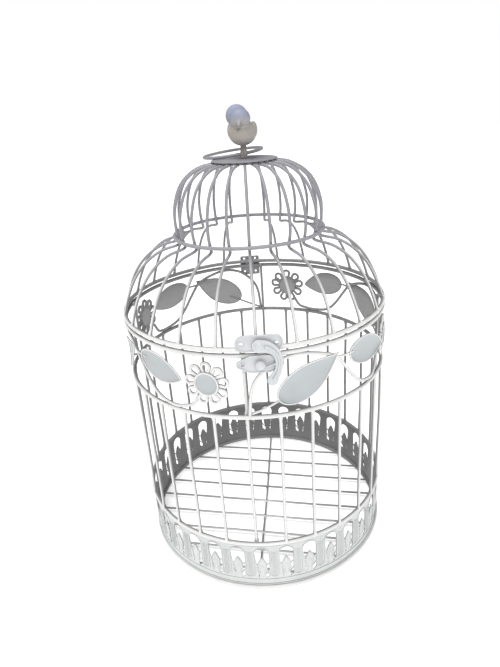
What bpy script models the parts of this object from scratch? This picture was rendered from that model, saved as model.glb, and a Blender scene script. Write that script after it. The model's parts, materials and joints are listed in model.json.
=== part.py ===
"""Wire birdcage card box: a round cage with a hinged dome lid, a hook latch and a hanging ring."""
import math

import bmesh
import bpy
from mathutils import Matrix, Vector

# ---- driving dimensions, in metres and degrees ----
CAGE_RADIUS = 0.125          # centre line of the big rings
BASE_RING_WIRE = 0.0025      # wire radius of the foot ring
RING_WIRE = 0.0018           # wire radius of the other rings
BAR_WIRE = 0.0014            # wire radius of the wall bars and posts
RIB_WIRE = 0.0013            # wire radius of the dome ribs
VINE_WIRE = 0.0012           # wire radius of the vines
FLOOR_WIRE = 0.0011          # half side of a floor wire
GAP = 0.0003                 # clearance kept between neighbouring pieces

BASE_RING_TOP_Z = 0.056      # centre of the ring on top of the gallery
MID_RING_Z = 0.1935          # centre of the ring under the floral band
TOP_RING_Z = 0.2501          # centre of the body's top ring
LID_RING_RISE = 0.0053       # from the top ring's centre to the lid ring's
NECK_RISE = 0.0658           # from the lid ring to the neck ring
NECK_RADIUS = 0.0697         # centre line of the neck ring
DOME_RISE = 0.0612           # from the neck ring to the ribs' upper ends
DOME_RIB_TOP_RADIUS = 0.022  # where the ribs end under the crown cap

BAR_COUNT = 28
POST_COUNT = 4
RIB_COUNT = 24
ARCH_COUNT = 34
POST_START = 84.5            # angle of the first post

GALLERY_SHEET = 0.001
ARCH_SHARE = 0.56            # arch width against the arch pitch
ARCH_FOOT = 0.008            # sheet left under an arch
ARCH_HEAD = 0.007            # sheet left over an arch
GALLERY_TURN = 1.6           # angle of the first arch's middle

FLOOR_PITCH = 0.0246
FLOOR_Z = 0.0028             # where the rows rest on the cross wire
FLOOR_ROW_TURN = -11.2
FLOOR_ROW_SHIFT = -0.0068    # the middle row's distance from the cage's axis

LEAF_SHEET = 0.001
LEAF_FACET = 0.012           # width of the flat facets of a leaf bent to the wall
BIG_LEAF_HALF = 0.0144       # half of a large leaf's width
SMALL_LEAF_HALF = 0.0122
STEM_HALF_WIDTH = 0.0011     # the leaf sheet's stems
FLOWER_SHEET = 0.0018
FLOWER_RADIUS = 0.0198       # out to the petals' tips
FLOWER_ANGLE = 75.0          # flower's centre past its post
FLOWER_RISE = 0.557          # share of the band's height under a flower's centre
FLOWER_DISC_SHARE = 0.52     # the solid disc against the whole flower
PETAL_COUNT = 9

LATCH_X = 0.002
LATCH_WIDTH = 0.038
LATCH_HEIGHT = 0.0145
LATCH_SHEET = 0.0012
LATCH_RISE = 0.0062          # from the lid ring to the latch plate's centre
HOOK_SHEET = 0.0014
HOOK_STANDOFF = 0.0015       # from the plates' front to the hook's back
HOOK_PIVOT_DROP = 0.0015     # the pivot's place under the plate's centre
KEEPER_DROP = 0.0062         # from the top ring to the keeper plate's centre
KEEPER_HEIGHT = 0.0156
SCREW_HOLE = 0.0012
SCREW_INSET = 0.0052         # from a latch plate's end to its screw hole
RIVET_SHAFT = 0.0016
STUD_NECK = 0.0022
STUD_HEAD = 0.0042
STUD_RISE = 0.0027           # from the keeper plate to the underside of the stud's head

HINGE_X = -0.0014            # the hinge's middle, a little off the cage's
HINGE_WIDTH = 0.0225
HINGE_SHEET = 0.001
KNUCKLE_RADIUS = 0.0023
KNUCKLE_WIDTH = 0.007
HINGE_PIN = 0.001
UPPER_LEAF_RISE = 0.0083     # from the hinge axis to the upper leaf's edge
LOWER_LEAF_DROP = 0.0146     # from the hinge axis to the lower leaf's edge
HINGE_HOLE_SHARE = 0.58      # the holes' place between the hinge's middle and its end
UPPER_HOLE_INSET = 0.003     # from the leaf's edge to its holes
LOWER_HOLE_INSET = 0.004
RUNNING = 0.0003             # radial clearance of pins in their holes

CAP_RADIUS = 0.030
CAP_CROWN = 0.0016           # height of the cap's crown over its underside
CAP_EDGE = 0.0005            # thickness of the cap's edge
CROWN_PLATE = 0.0018
STEM_RADIUS = 0.0027
STEM_HEIGHT = 0.0107
EYE_RADIUS = 0.0043
EYE_HEIGHT = 0.0033          # eye's centre over the stem's foot
EYE_HOLE = 0.0020
HANGING_RING_RADIUS = 0.0275
HANGING_RING_WIRE = 0.0014
HANGING_RING_TURN = 21.8     # the ring lies back and a little to the left
HANGING_RING_TILT = 5.0      # its left side lies lower
HANGING_RING_LEAN = 1.5      # its far side lies lower
BIRD_WIDTH = 0.0244

WHITE = (0.80, 0.81, 0.80)
GREY = (0.62, 0.62, 0.64)
STEEL = (0.70, 0.71, 0.72)

# ---- heights and places that follow from them ----
LID_RING_Z = TOP_RING_Z + LID_RING_RISE
NECK_Z = LID_RING_Z + NECK_RISE
RIB_TOP_Z = NECK_Z + DOME_RISE
BAND_HEIGHT = TOP_RING_Z - MID_RING_Z
RING_SIDES = 6
RING_SIDE_REACH = RING_WIRE / math.cos(math.pi / RING_SIDES)   # to the section's side corners
OUTER_FACE = CAGE_RADIUS + RING_SIDE_REACH + GAP
POST_RADIUS = CAGE_RADIUS - RING_SIDE_REACH - GAP - BAR_WIRE


# ---- helpers ----
def clear_scene():
    for item in list(bpy.data.objects):
        bpy.data.objects.remove(item, do_unlink=True)


def new_collection(name):
    made = bpy.data.collections.new(name)
    bpy.context.scene.collection.children.link(made)
    return made


def paint(name, colour, roughness=0.4, metallic=0.0):
    made = bpy.data.materials.new(name)
    made.use_nodes = True
    shader = made.node_tree.nodes["Principled BSDF"]
    shader.inputs["Base Color"].default_value = (*colour, 1.0)
    shader.inputs["Roughness"].default_value = roughness
    shader.inputs["Metallic"].default_value = metallic
    return made


def place(name, data, material=None):
    made = bpy.data.objects.new(name, data)
    PARTS.objects.link(made)
    if material is not None:
        data.materials.append(material)
    return made


def polar(radius, angle, z):
    turn = math.radians(angle)
    return Vector((radius * math.cos(turn), radius * math.sin(turn), z))


def smooth(points, steps):
    """Points along a Catmull-Rom curve through the given points, a few for each stretch."""
    ends = [points[0] * 2 - points[1], *points, points[-1] * 2 - points[-2]]
    out = []
    for a, b, c, d in zip(ends, ends[1:], ends[2:], ends[3:]):
        for k in range(steps):
            t = k / steps
            out.append(
                0.5 * (2 * b + (c - a) * t + (2 * a - 5 * b + 4 * c - d) * t ** 2
                       + (3 * b - a - 3 * c + d) * t ** 3)
            )
    return [*out, points[-1]]


def wire(name, points, radius, material):
    """A round wire: a poly curve with a bevel and closed ends."""
    curve = bpy.data.curves.new(name, "CURVE")
    curve.dimensions = "3D"
    curve.bevel_depth = radius
    curve.bevel_resolution = 1
    curve.use_fill_caps = True
    spline = curve.splines.new("POLY")
    spline.points.add(len(points) - 1)
    for target, point in zip(spline.points, points):
        target.co = (*point, 1.0)
    return place(name, curve, material)


def add_outline(curve, outline):
    spline = curve.splines.new("POLY")
    spline.points.add(len(outline) - 1)
    for target, (x, y) in zip(spline.points, outline):
        target.co = (x, y, 0.0, 1.0)
    spline.use_cyclic_u = True


def sheet(name, outlines, thickness, material):
    """A flat plate in its own XY plane: the first outline is its edge, the others its holes."""
    curve = bpy.data.curves.new(name, "CURVE")
    curve.dimensions = "2D"
    curve.fill_mode = "BOTH"
    curve.extrude = thickness / 2
    for outline in outlines:
        add_outline(curve, outline)
    return place(name, curve, material)


def as_mesh(curve_object):
    """The same piece as a closed mesh, so that it can be cut, joined or bent."""
    bpy.context.view_layer.update()
    graph = bpy.context.evaluated_depsgraph_get()
    data = bpy.data.meshes.new_from_object(curve_object.evaluated_get(graph))
    bm = bmesh.new()
    bm.from_mesh(data)
    bmesh.ops.remove_doubles(bm, verts=bm.verts, dist=1e-6)
    bm.to_mesh(data)
    bm.free()
    name = curve_object.name
    matrix = curve_object.matrix_world.copy()
    old = curve_object.data
    bpy.data.objects.remove(curve_object, do_unlink=True)
    bpy.data.curves.remove(old)
    data.name = name
    made = place(name, data)
    made.matrix_world = matrix
    return made


def bake(made):
    """The object's modifiers applied, and its place written into its mesh."""
    bpy.context.view_layer.update()
    graph = bpy.context.evaluated_depsgraph_get()
    data = bpy.data.meshes.new_from_object(made.evaluated_get(graph))
    data.transform(made.matrix_world)
    made.modifiers.clear()
    made.data = data
    made.matrix_world = Matrix.Identity(4)
    return made


def combine(target, others, operation="UNION"):
    """The target joined with, or cut by, the others, which go away."""
    for number, other in enumerate(others):
        step = target.modifiers.new(f"{operation.lower()}_{number}", "BOOLEAN")
        step.operation = operation
        step.solver = "EXACT"
        step.object = other
    bake(target)
    for other in others:
        bpy.data.objects.remove(other, do_unlink=True)
    return target


def join_loose(pieces):
    """Several closed meshes as one object, for one union or one cut."""
    bm = bmesh.new()
    for piece in pieces:
        bake(piece)
        bm.from_mesh(piece.data)
    first = pieces[0]
    bm.to_mesh(first.data)
    bm.free()
    for piece in pieces[1:]:
        bpy.data.objects.remove(piece, do_unlink=True)
    return first


def lathe(name, profile, steps, material):
    """A turned piece: the (radius, height) profile runs down its outer side."""
    data = bpy.data.meshes.new(name)
    points = [(radius, 0.0, z) for radius, z in profile]
    closed = profile[0][0] > 0 or profile[-1][0] > 0
    edges = [(k, k + 1) for k in range(len(points) - 1)]
    if closed:
        edges.append((len(points) - 1, 0))
    data.from_pydata(points, edges, [])
    made = place(name, data, material)
    turn = made.modifiers.new("turn", "SCREW")
    turn.steps = steps
    turn.render_steps = steps
    turn.use_merge_vertices = True
    turn.merge_threshold = 0.00001
    return made


def ring(name, radius, z, wire_radius, material, sides=RING_SIDES, steps=2 * BAR_COUNT):
    """A closed ring of round wire: a flat side of its section faces down, a corner each bar."""
    profile = []
    for k in range(sides):
        turn = -math.tau * (k + 0.5) / sides + math.pi / 2
        reach = wire_radius / math.cos(math.pi / sides)
        profile.append((radius + reach * math.cos(turn), z + reach * math.sin(turn)))
    made = lathe(name, profile, steps, material)
    made.rotation_euler.z = math.radians(POST_START)
    return made


def block(name, low, high, material):
    """A box from its lowest to its highest corner."""
    data = bpy.data.meshes.new(name)
    bm = bmesh.new()
    bmesh.ops.create_cube(bm, size=1.0)
    size = [b - a for a, b in zip(low, high)]
    middle = [(a + b) / 2 for a, b in zip(low, high)]
    bmesh.ops.scale(bm, vec=size, verts=bm.verts)
    bmesh.ops.translate(bm, vec=middle, verts=bm.verts)
    bm.to_mesh(data)
    bm.free()
    return place(name, data, material)


def rod(name, radius, start, end, material, sides=16):
    """A straight round rod between two points."""
    data = bpy.data.meshes.new(name)
    bm = bmesh.new()
    span = Vector(end) - Vector(start)
    turn = span.to_track_quat("Z", "Y").to_matrix().to_4x4()
    middle = Matrix.Translation((Vector(start) + Vector(end)) / 2)
    bmesh.ops.create_cone(
        bm, cap_ends=True, segments=sides, radius1=radius, radius2=radius,
        depth=span.length, matrix=middle @ turn,
    )
    bm.to_mesh(data)
    bm.free()
    return place(name, data, material)


def ball(name, middle, size, turn, material, segments=14, rings=9):
    """A ball stretched to its size along its own axes, then turned about X."""
    data = bpy.data.meshes.new(name)
    bm = bmesh.new()
    stretch = Matrix.Diagonal((*size, 1.0))
    matrix = Matrix.Translation(middle) @ Matrix.Rotation(math.radians(turn), 4, "X") @ stretch
    bmesh.ops.create_uvsphere(
        bm, u_segments=segments, v_segments=rings, radius=1.0, matrix=matrix
    )
    bm.to_mesh(data)
    bm.free()
    return place(name, data, material)


def wrap(made, radius, slice_width, shift=0.0):
    """A flat plate laid round a cylinder: X becomes arc length, Y height and Z depth."""
    bm = bmesh.new()
    bm.from_mesh(made.data)
    low = min(vert.co.x for vert in bm.verts)
    high = max(vert.co.x for vert in bm.verts)
    cut = (math.floor(low / slice_width) + 1) * slice_width
    while cut < high - 1e-5:
        geometry = [*bm.verts, *bm.edges, *bm.faces]
        bmesh.ops.bisect_plane(
            bm, geom=geometry, dist=1e-7, plane_co=(cut, 0, 0), plane_no=(1, 0, 0)
        )
        cut += slice_width
    for vert in bm.verts:
        turn = vert.co.x / CAGE_RADIUS + math.radians(shift)
        reach = radius + vert.co.z
        vert.co = (reach * math.cos(turn), reach * math.sin(turn), vert.co.y)
    bmesh.ops.remove_doubles(bm, verts=bm.verts, dist=1e-6)
    bm.to_mesh(made.data)
    bm.free()
    return made


def arc_points(middle, radius, start, end, count):
    """Points along an arc in a plane, from one angle to another."""
    out = []
    for k in range(count):
        turn = math.radians(start + (end - start) * k / (count - 1))
        out.append((middle[0] + radius * math.cos(turn), middle[1] + radius * math.sin(turn)))
    return out


def hole(middle, radius, sides=10):
    return arc_points(middle, radius, 0, 360 - 360 / sides, sides)


def strip(path, round_ends=5):
    """The outline of a band of changing width: path holds (x, y, half width)."""
    left = []
    right = []
    for k, (x, y, half) in enumerate(path):
        before = path[max(k - 1, 0)]
        after = path[min(k + 1, len(path) - 1)]
        along = Vector((after[0] - before[0], after[1] - before[1])).normalized()
        left.append((x - along.y * half, y + along.x * half))
        right.append((x + along.y * half, y - along.x * half))
    first = Vector((path[1][0] - path[0][0], path[1][1] - path[0][1]))
    last = Vector((path[-1][0] - path[-2][0], path[-1][1] - path[-2][1]))
    out_turn = math.degrees(math.atan2(last.y, last.x))
    back_turn = math.degrees(math.atan2(first.y, first.x))
    tip = arc_points(path[-1][:2], path[-1][2], out_turn + 90, out_turn - 90, round_ends + 2)
    tail = arc_points(path[0][:2], path[0][2], back_turn - 90, back_turn - 270, round_ends + 2)
    return [*left[:-1], *tip, *right[1:-1][::-1], *tail[:-1]]


# ---- the welded body ----
def make_body_rings():
    ring("bottom_ring", CAGE_RADIUS, BASE_RING_WIRE, BASE_RING_WIRE, PAINT)
    ring("gallery_top_ring", CAGE_RADIUS, BASE_RING_TOP_Z, RING_WIRE, PAINT)
    ring("mid_ring", CAGE_RADIUS, MID_RING_Z, RING_WIRE, PAINT)
    ring("top_ring", CAGE_RADIUS, TOP_RING_Z, RING_WIRE, PAINT)


def make_wall():
    """Bars from the gallery ring to the mid ring, and posts that go on up to the top ring."""
    foot = BASE_RING_TOP_Z + RING_WIRE + GAP
    bar_number = 0
    per_post = BAR_COUNT // POST_COUNT
    for k in range(BAR_COUNT):
        angle = POST_START + 360.0 * k / BAR_COUNT
        if k % per_post == 0:
            head = TOP_RING_Z - RING_WIRE - GAP
            span = [polar(POST_RADIUS, angle, foot), polar(POST_RADIUS, angle, head)]
            wire(f"post_{k // per_post + 1}", span, BAR_WIRE, PAINT)
            continue
        bar_number += 1
        head = MID_RING_Z - RING_WIRE - GAP
        span = [polar(CAGE_RADIUS, angle, foot), polar(CAGE_RADIUS, angle, head)]
        wire(f"bar_{bar_number:02d}", span, BAR_WIRE, PAINT)


def make_gallery():
    """The pierced band between the foot ring and the ring above it."""
    low = 2 * BASE_RING_WIRE + GAP
    high = BASE_RING_TOP_Z - RING_WIRE - GAP
    pitch = math.tau * CAGE_RADIUS / ARCH_COUNT
    half = pitch * ARCH_SHARE / 2
    spring = high - ARCH_HEAD - half
    arch = [(-half, low + ARCH_FOOT), (half, low + ARCH_FOOT)]
    arch += arc_points((0, spring), half, 0, 180, 5)
    panel = [(-pitch / 2, low), (pitch / 2, low), (pitch / 2, high), (-pitch / 2, high)]
    pieces = []
    for k in range(ARCH_COUNT):
        middle = pitch * k
        edge = [(x + middle, y) for x, y in panel]
        opening = [(x + middle, y) for x, y in arch]
        flat = sheet(f"gallery_panel_{k}", [edge, opening], GALLERY_SHEET, PAINT)
        pieces.append(as_mesh(flat))
    band = join_loose(pieces)
    band.name = "gallery_band"
    bm = bmesh.new()
    bm.from_mesh(band.data)
    # neighbouring panels share their side walls, which go so that the panels weld into one band
    walls = [
        face for face in bm.faces
        if abs(face.normal.x) > 0.99
        and abs(face.calc_center_median().x / pitch % 1.0 - 0.5) < 0.01
    ]
    bmesh.ops.delete(bm, geom=walls, context="FACES")
    bmesh.ops.remove_doubles(bm, verts=bm.verts, dist=1e-5)
    bm.to_mesh(band.data)
    bm.free()
    wrap(band, CAGE_RADIUS, pitch / 2, GALLERY_TURN)


def make_floor():
    """The open floor: a row of parallel wires welded on one wire that runs across them."""
    reach = CAGE_RADIUS - BASE_RING_WIRE - 3 * GAP
    step = FLOOR_WIRE - GAP

    def line(name, turn, offset, z):
        half = math.sqrt(reach ** 2 - (abs(offset) + FLOOR_WIRE) ** 2)
        low = (-half, offset - FLOOR_WIRE, z - FLOOR_WIRE)
        high = (half, offset + FLOOR_WIRE, z + FLOOR_WIRE)
        made = block(name, low, high, PAINT)
        made.rotation_euler.z = math.radians(turn)
        return made

    rows = []
    count = int((reach - FLOOR_WIRE) / FLOOR_PITCH)
    for k in range(-count, count + 1):
        offset = k * FLOOR_PITCH + FLOOR_ROW_SHIFT
        if abs(offset) < reach - FLOOR_PITCH / 2:
            rows.append(line(f"floor_row_{k}", FLOOR_ROW_TURN, offset, FLOOR_Z + step))
    cross = line("floor_mesh", POST_START, 0.0, FLOOR_Z - step)
    combine(bake(cross), [join_loose(rows)])


# ---- the floral band ----
def band_point(angle, share):
    """A place in the floral band as arc length and height."""
    return (math.radians(angle) * CAGE_RADIUS, MID_RING_Z + share * BAND_HEIGHT)


def leaf_outline(base, tip, half_width, widest, count=6):
    """A leaf from its rounded base to its pointed tip."""
    root = Vector(base)
    span = Vector(tip) - root
    across = Vector((-span.y, span.x)).normalized()
    upper = []
    lower = []
    for k in range(1, count):
        t = k / count
        if t < widest:
            wide = math.sqrt(1 - ((widest - t) / widest) ** 2)
        else:
            wide = math.cos(math.pi / 2 * (t - widest) / (1 - widest)) ** 1.15
        middle = root + span * t
        upper.append(tuple(middle + across * half_width * wide))
        lower.append(tuple(middle - across * half_width * wide))
    return [tuple(root), *lower, tuple(root + span), *upper[::-1]]


def make_vine(number, angle):
    """A vine: up from the post's foot, over to the knot, down to the mid ring, up to the flower."""
    foot = (RING_WIRE + GAP) / BAND_HEIGHT
    clear_foot = (RING_WIRE + VINE_WIRE + GAP) / BAND_HEIGHT
    clear_head = 1 - clear_foot
    start = math.degrees((BAR_WIRE + VINE_WIRE + GAP) / POST_RADIUS)
    behind = FLOWER_SHEET / 2 + VINE_WIRE + 2 * GAP
    route = [
        (start, foot, 0.0), (2.6, 0.45, 0.0), (6.0, 0.69, 0.0), (12.5, 0.88, 0.0),
        (21.0, clear_head, 0.0), (30.0, 0.87, 0.0), (36.5, 0.755, 0.0), (41.5, 0.53, 0.0),
        (46.5, 0.29, 0.0), (52.0, 0.12, 0.0), (59.5, clear_foot, 0.0),
        (64.5, clear_foot + 0.02, behind * 0.5), (68.5, 0.14, behind), (71.5, 0.31, behind),
    ]
    points = []
    for turn, share, inset in route:
        height = MID_RING_Z + share * BAND_HEIGHT
        points.append(polar(CAGE_RADIUS - inset, angle + turn, height))
    wire(f"vine_{number}", smooth(points, 2), VINE_WIRE, PAINT)


def make_leaves(number, angle):
    """A large leaf on its stem and a small leaf past it, cut from one sheet."""
    foot = (RING_WIRE + GAP) / BAND_HEIGHT
    big = leaf_outline(band_point(11.3, 0.24), band_point(36.6, 0.80), BIG_LEAF_HALF, 0.40)
    small = leaf_outline(band_point(43.0, 0.735), band_point(65.0, 0.58), SMALL_LEAF_HALF, 0.42)
    stem_route = [(1.6, foot + 0.03), (9.0, 0.17), (17.0, 0.33)]
    twig_route = [(34.0, 0.755), (39.5, 0.725), (46.0, 0.71)]
    stem = [(*band_point(*spot), STEM_HALF_WIDTH) for spot in stem_route]
    twig = [(*band_point(*spot), STEM_HALF_WIDTH) for spot in twig_route]
    outlines = {"leaf": big, "tip": small, "stem": strip(stem, 1), "twig": strip(twig, 1)}
    pieces = []
    for name, outline in outlines.items():
        pieces.append(as_mesh(sheet(f"{name}_{number}", [outline], LEAF_SHEET, LEAF)))
    spray = combine(pieces[0], pieces[1:])
    spray.name = f"leaf_spray_{number}"
    layer = CAGE_RADIUS + VINE_WIRE + GAP + LEAF_SHEET / 2
    wrap(spray, layer, LEAF_FACET, angle)


def make_flower(number, angle):
    """A disc with nine open wire petals round it, flat against the wall."""
    outer = FLOWER_RADIUS
    disc = outer * FLOWER_DISC_SHARE
    edge = []
    holes = []
    for k in range(PETAL_COUNT):
        turn = 360 / PETAL_COUNT * k
        pitch = 180 / PETAL_COUNT
        for share, reach in ((-0.58, 0.88), (0.0, 1.0), (0.58, 0.88), (1.0, 0.60)):
            bearing = math.radians(turn + share * pitch)
            edge.append((outer * reach * math.cos(bearing), outer * reach * math.sin(bearing)))
        loop = []
        for share, reach in ((-0.32, 0.82), (0.0, 0.87), (0.32, 0.82), (0.0, 0.64)):
            bearing = math.radians(turn + share * pitch)
            loop.append((outer * reach * math.cos(bearing), outer * reach * math.sin(bearing)))
        holes.append(loop)
    flower = sheet(f"flower_{number}", [edge, *holes], FLOWER_SHEET, LEAF)
    boss = lathe(f"boss_{number}", [(0, 0.0022), (disc * 0.6, 0.0018), (disc, 0.0007),
                                    (disc, -0.0007), (0, -0.0007)], 12, LEAF)
    flower = combine(as_mesh(flower), [boss])
    bearing = angle + FLOWER_ANGLE
    height = MID_RING_Z + FLOWER_RISE * BAND_HEIGHT
    turn = Matrix.Rotation(math.radians(bearing + 90), 4, "Z") @ Matrix.Rotation(math.pi / 2, 4, "X")
    flower.matrix_world = Matrix.Translation(polar(CAGE_RADIUS, bearing, height)) @ turn


def make_floral_band():
    for k in range(POST_COUNT):
        angle = POST_START + 360.0 * k / POST_COUNT
        make_vine(k + 1, angle)
        make_leaves(k + 1, angle)
        make_flower(k + 1, angle)


# ---- the lid ----
def rib_profile():
    """A rib's (radius, height) points, from under the crown cap down to the lid ring."""
    inside = NECK_RADIUS - RING_WIRE - RIB_WIRE + 2 * GAP
    low = LID_RING_Z + RING_WIRE + GAP

    def dome(out, up):
        reach = DOME_RIB_TOP_RADIUS + out * (inside - DOME_RIB_TOP_RADIUS)
        return (reach, NECK_Z + up * DOME_RISE)

    def shoulder(out, up):
        return (inside + out * (CAGE_RADIUS - inside), low + up * (NECK_Z - low))

    return [
        dome(0, 1.0), dome(0.45, 0.95), dome(0.82, 0.74), dome(1.0, 0.43),
        dome(1.03, 0.16), dome(0.99, -0.02), shoulder(0.0, 0.915), shoulder(0.29, 0.855),
        shoulder(0.55, 0.71), shoulder(0.76, 0.49), shoulder(0.91, 0.22),
        shoulder(1.0, 0.04), shoulder(1.0, 0.0),
    ]


def make_dome():
    """All the ribs, welded to the neck ring and to the plate under the crown cap."""
    profile = rib_profile()
    ribs = []
    for k in range(RIB_COUNT):
        angle = 90 + 360.0 * k / RIB_COUNT
        points = [polar(reach, angle, z) for reach, z in profile]
        ribs.append(as_mesh(wire(f"rib_{k}", points, RIB_WIRE, PAINT)))
    ribs = join_loose(ribs)
    neck = ring("neck_ring", NECK_RADIUS, NECK_Z, RING_WIRE, PAINT, steps=48)
    top = RIB_TOP_Z + CROWN_PLATE / 2
    edge = DOME_RIB_TOP_RADIUS + 2 * RIB_WIRE
    plate = lathe("crown_plate", [(0, top), (edge, top), (edge, top - CROWN_PLATE),
                                  (0, top - CROWN_PLATE)], 36, PAINT)
    frame = combine(bake(neck), [ribs, plate])
    frame.name = "dome_frame"
    ring("lid_ring", CAGE_RADIUS, LID_RING_Z, RING_WIRE, PAINT)


def eye_turn():
    """The turn of the hanging ring's pivot: its X is the eye's axis, which the ring turns about."""
    tilt = Matrix.Rotation(-math.radians(HANGING_RING_TILT), 4, "Y")
    return Matrix.Rotation(math.radians(HANGING_RING_TURN), 4, "Z") @ tilt


def make_crown():
    """The domed cap, the stem with its eye, and the bird on it."""
    rim = RIB_TOP_Z + RIB_WIRE + GAP
    crown = rim + CAP_CROWN
    slope = CAP_CROWN - CAP_EDGE
    outside = [(0, crown), (CAP_RADIUS * 0.55, crown - slope * 0.28),
               (CAP_RADIUS * 0.88, crown - slope * 0.76), (CAP_RADIUS, rim + CAP_EDGE)]
    inside = [(CAP_RADIUS, rim), (0, rim)]
    lathe("crown_cap", [*outside, *inside], 36, PAINT)

    foot = crown + GAP
    top = foot + STEM_HEIGHT
    stem = lathe("stem", [(0, top), (STEM_RADIUS, top), (STEM_RADIUS, foot + 0.0012),
                          (STEM_RADIUS * 1.6, foot), (0, foot)], 16, BIRD)
    eye_middle = Vector((0, 0, foot + EYE_HEIGHT))
    eye = ball("eye", eye_middle, (STEM_RADIUS, EYE_RADIUS, EYE_HEIGHT * 0.97), 0, BIRD, 16, 12)
    along = eye_turn().to_3x3() @ Vector((2 * EYE_RADIUS, 0, 0))
    bore = rod("bore", EYE_HOLE, eye_middle - along, eye_middle + along, BIRD, 12)
    stem = combine(bake(stem), [eye])
    stem = combine(stem, [bore], "DIFFERENCE")
    stem.name = "finial_stem"
    make_hanging_ring(eye_middle)
    make_bird(top + GAP)


def make_hanging_ring(eye_middle):
    """The ring through the stem's eye: its own origin is on the eye's axis."""
    profile = []
    sides = 6
    for k in range(sides):
        turn = -math.tau * k / sides
        profile.append((HANGING_RING_RADIUS + HANGING_RING_WIRE * math.cos(turn),
                        HANGING_RING_WIRE * math.sin(turn)))
    made = bake(lathe("hanging_ring", profile, 32, PAINT))
    made.data.transform(Matrix.Translation((0, HANGING_RING_RADIUS, 0)))
    hang = bpy.data.objects.new("hanging_ring_pivot", None)
    PARTS.objects.link(hang)
    hang.matrix_world = Matrix.Translation(eye_middle) @ eye_turn()
    made.parent = hang
    made.rotation_euler.x = -math.radians(HANGING_RING_LEAN)


def make_bird(foot):
    """A small plump bird: body, lowered head, beak and raised tail."""
    half = BIRD_WIDTH / 2
    body_middle = Vector((0, 0, foot + half * 0.78))
    body = ball("body", body_middle, (half, half * 1.30, half * 0.90), 8, BIRD, 14, 10)
    head_middle = body_middle + Vector((-half * 0.10, -half * 0.72, half * 0.95))
    head = ball("head", head_middle, (half * 0.70, half * 0.74, half * 0.64), 0, BIRD, 12, 8)
    tail_middle = body_middle + Vector((-half * 0.34, half * 1.05, half * 1.10))
    tail = ball("tail", tail_middle, (half * 0.78, half * 0.40, half * 0.80), -22, BIRD, 12, 8)
    beak_tip = head_middle + Vector((-half * 0.10, -half * 1.02, -half * 0.40))
    data = bpy.data.meshes.new("beak")
    bm = bmesh.new()
    span = beak_tip - head_middle
    turn = span.to_track_quat("Z", "Y").to_matrix().to_4x4()
    matrix = Matrix.Translation((head_middle + beak_tip) / 2) @ turn
    bmesh.ops.create_cone(bm, cap_ends=True, segments=8, radius1=half * 0.34,
                          radius2=half * 0.05, depth=span.length, matrix=matrix)
    bm.to_mesh(data)
    bm.free()
    beak = place("beak", data)
    bird = combine(body, [head, tail, beak])
    under = block("under", (-half, -half, foot - half), (half, half, foot), BIRD)
    combine(bird, [under], "DIFFERENCE")
    bird.name = "finial_bird"


# ---- latch and hinge ----
def upright(made, x, y, z):
    """A flat plate stood up facing the front, its depth along Y."""
    made.matrix_world = Matrix.Translation((x, y, z)) @ Matrix.Rotation(math.pi / 2, 4, "X")
    return made


def plate_outline(width, height, pointed):
    """A long plate with round ends, or with ends drawn out to blunt points."""
    half = width / 2
    tall = height / 2
    if not pointed:
        right = arc_points((half - tall, 0), tall, -90, 90, 9)
        left = arc_points((tall - half, 0), tall, 90, 270, 9)
        return [*right, *left]
    corner = half * 0.42
    blunt = tall * 0.42
    right = arc_points((half - blunt, 0), blunt, -60, 60, 5)
    left = arc_points((blunt - half, 0), blunt, 120, 240, 5)
    return [(corner, -tall), *right, (corner, tall), (-corner, tall), *left, (-corner, -tall)]


def latch_places():
    plate_z = LID_RING_Z + LATCH_RISE
    front = -(OUTER_FACE + LATCH_SHEET)
    return {
        "plate_z": plate_z,
        "pivot_z": plate_z - HOOK_PIVOT_DROP,
        "keeper_z": TOP_RING_Z - KEEPER_DROP,
        "front": front,
        "hook_back": front - HOOK_STANDOFF,
    }


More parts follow.
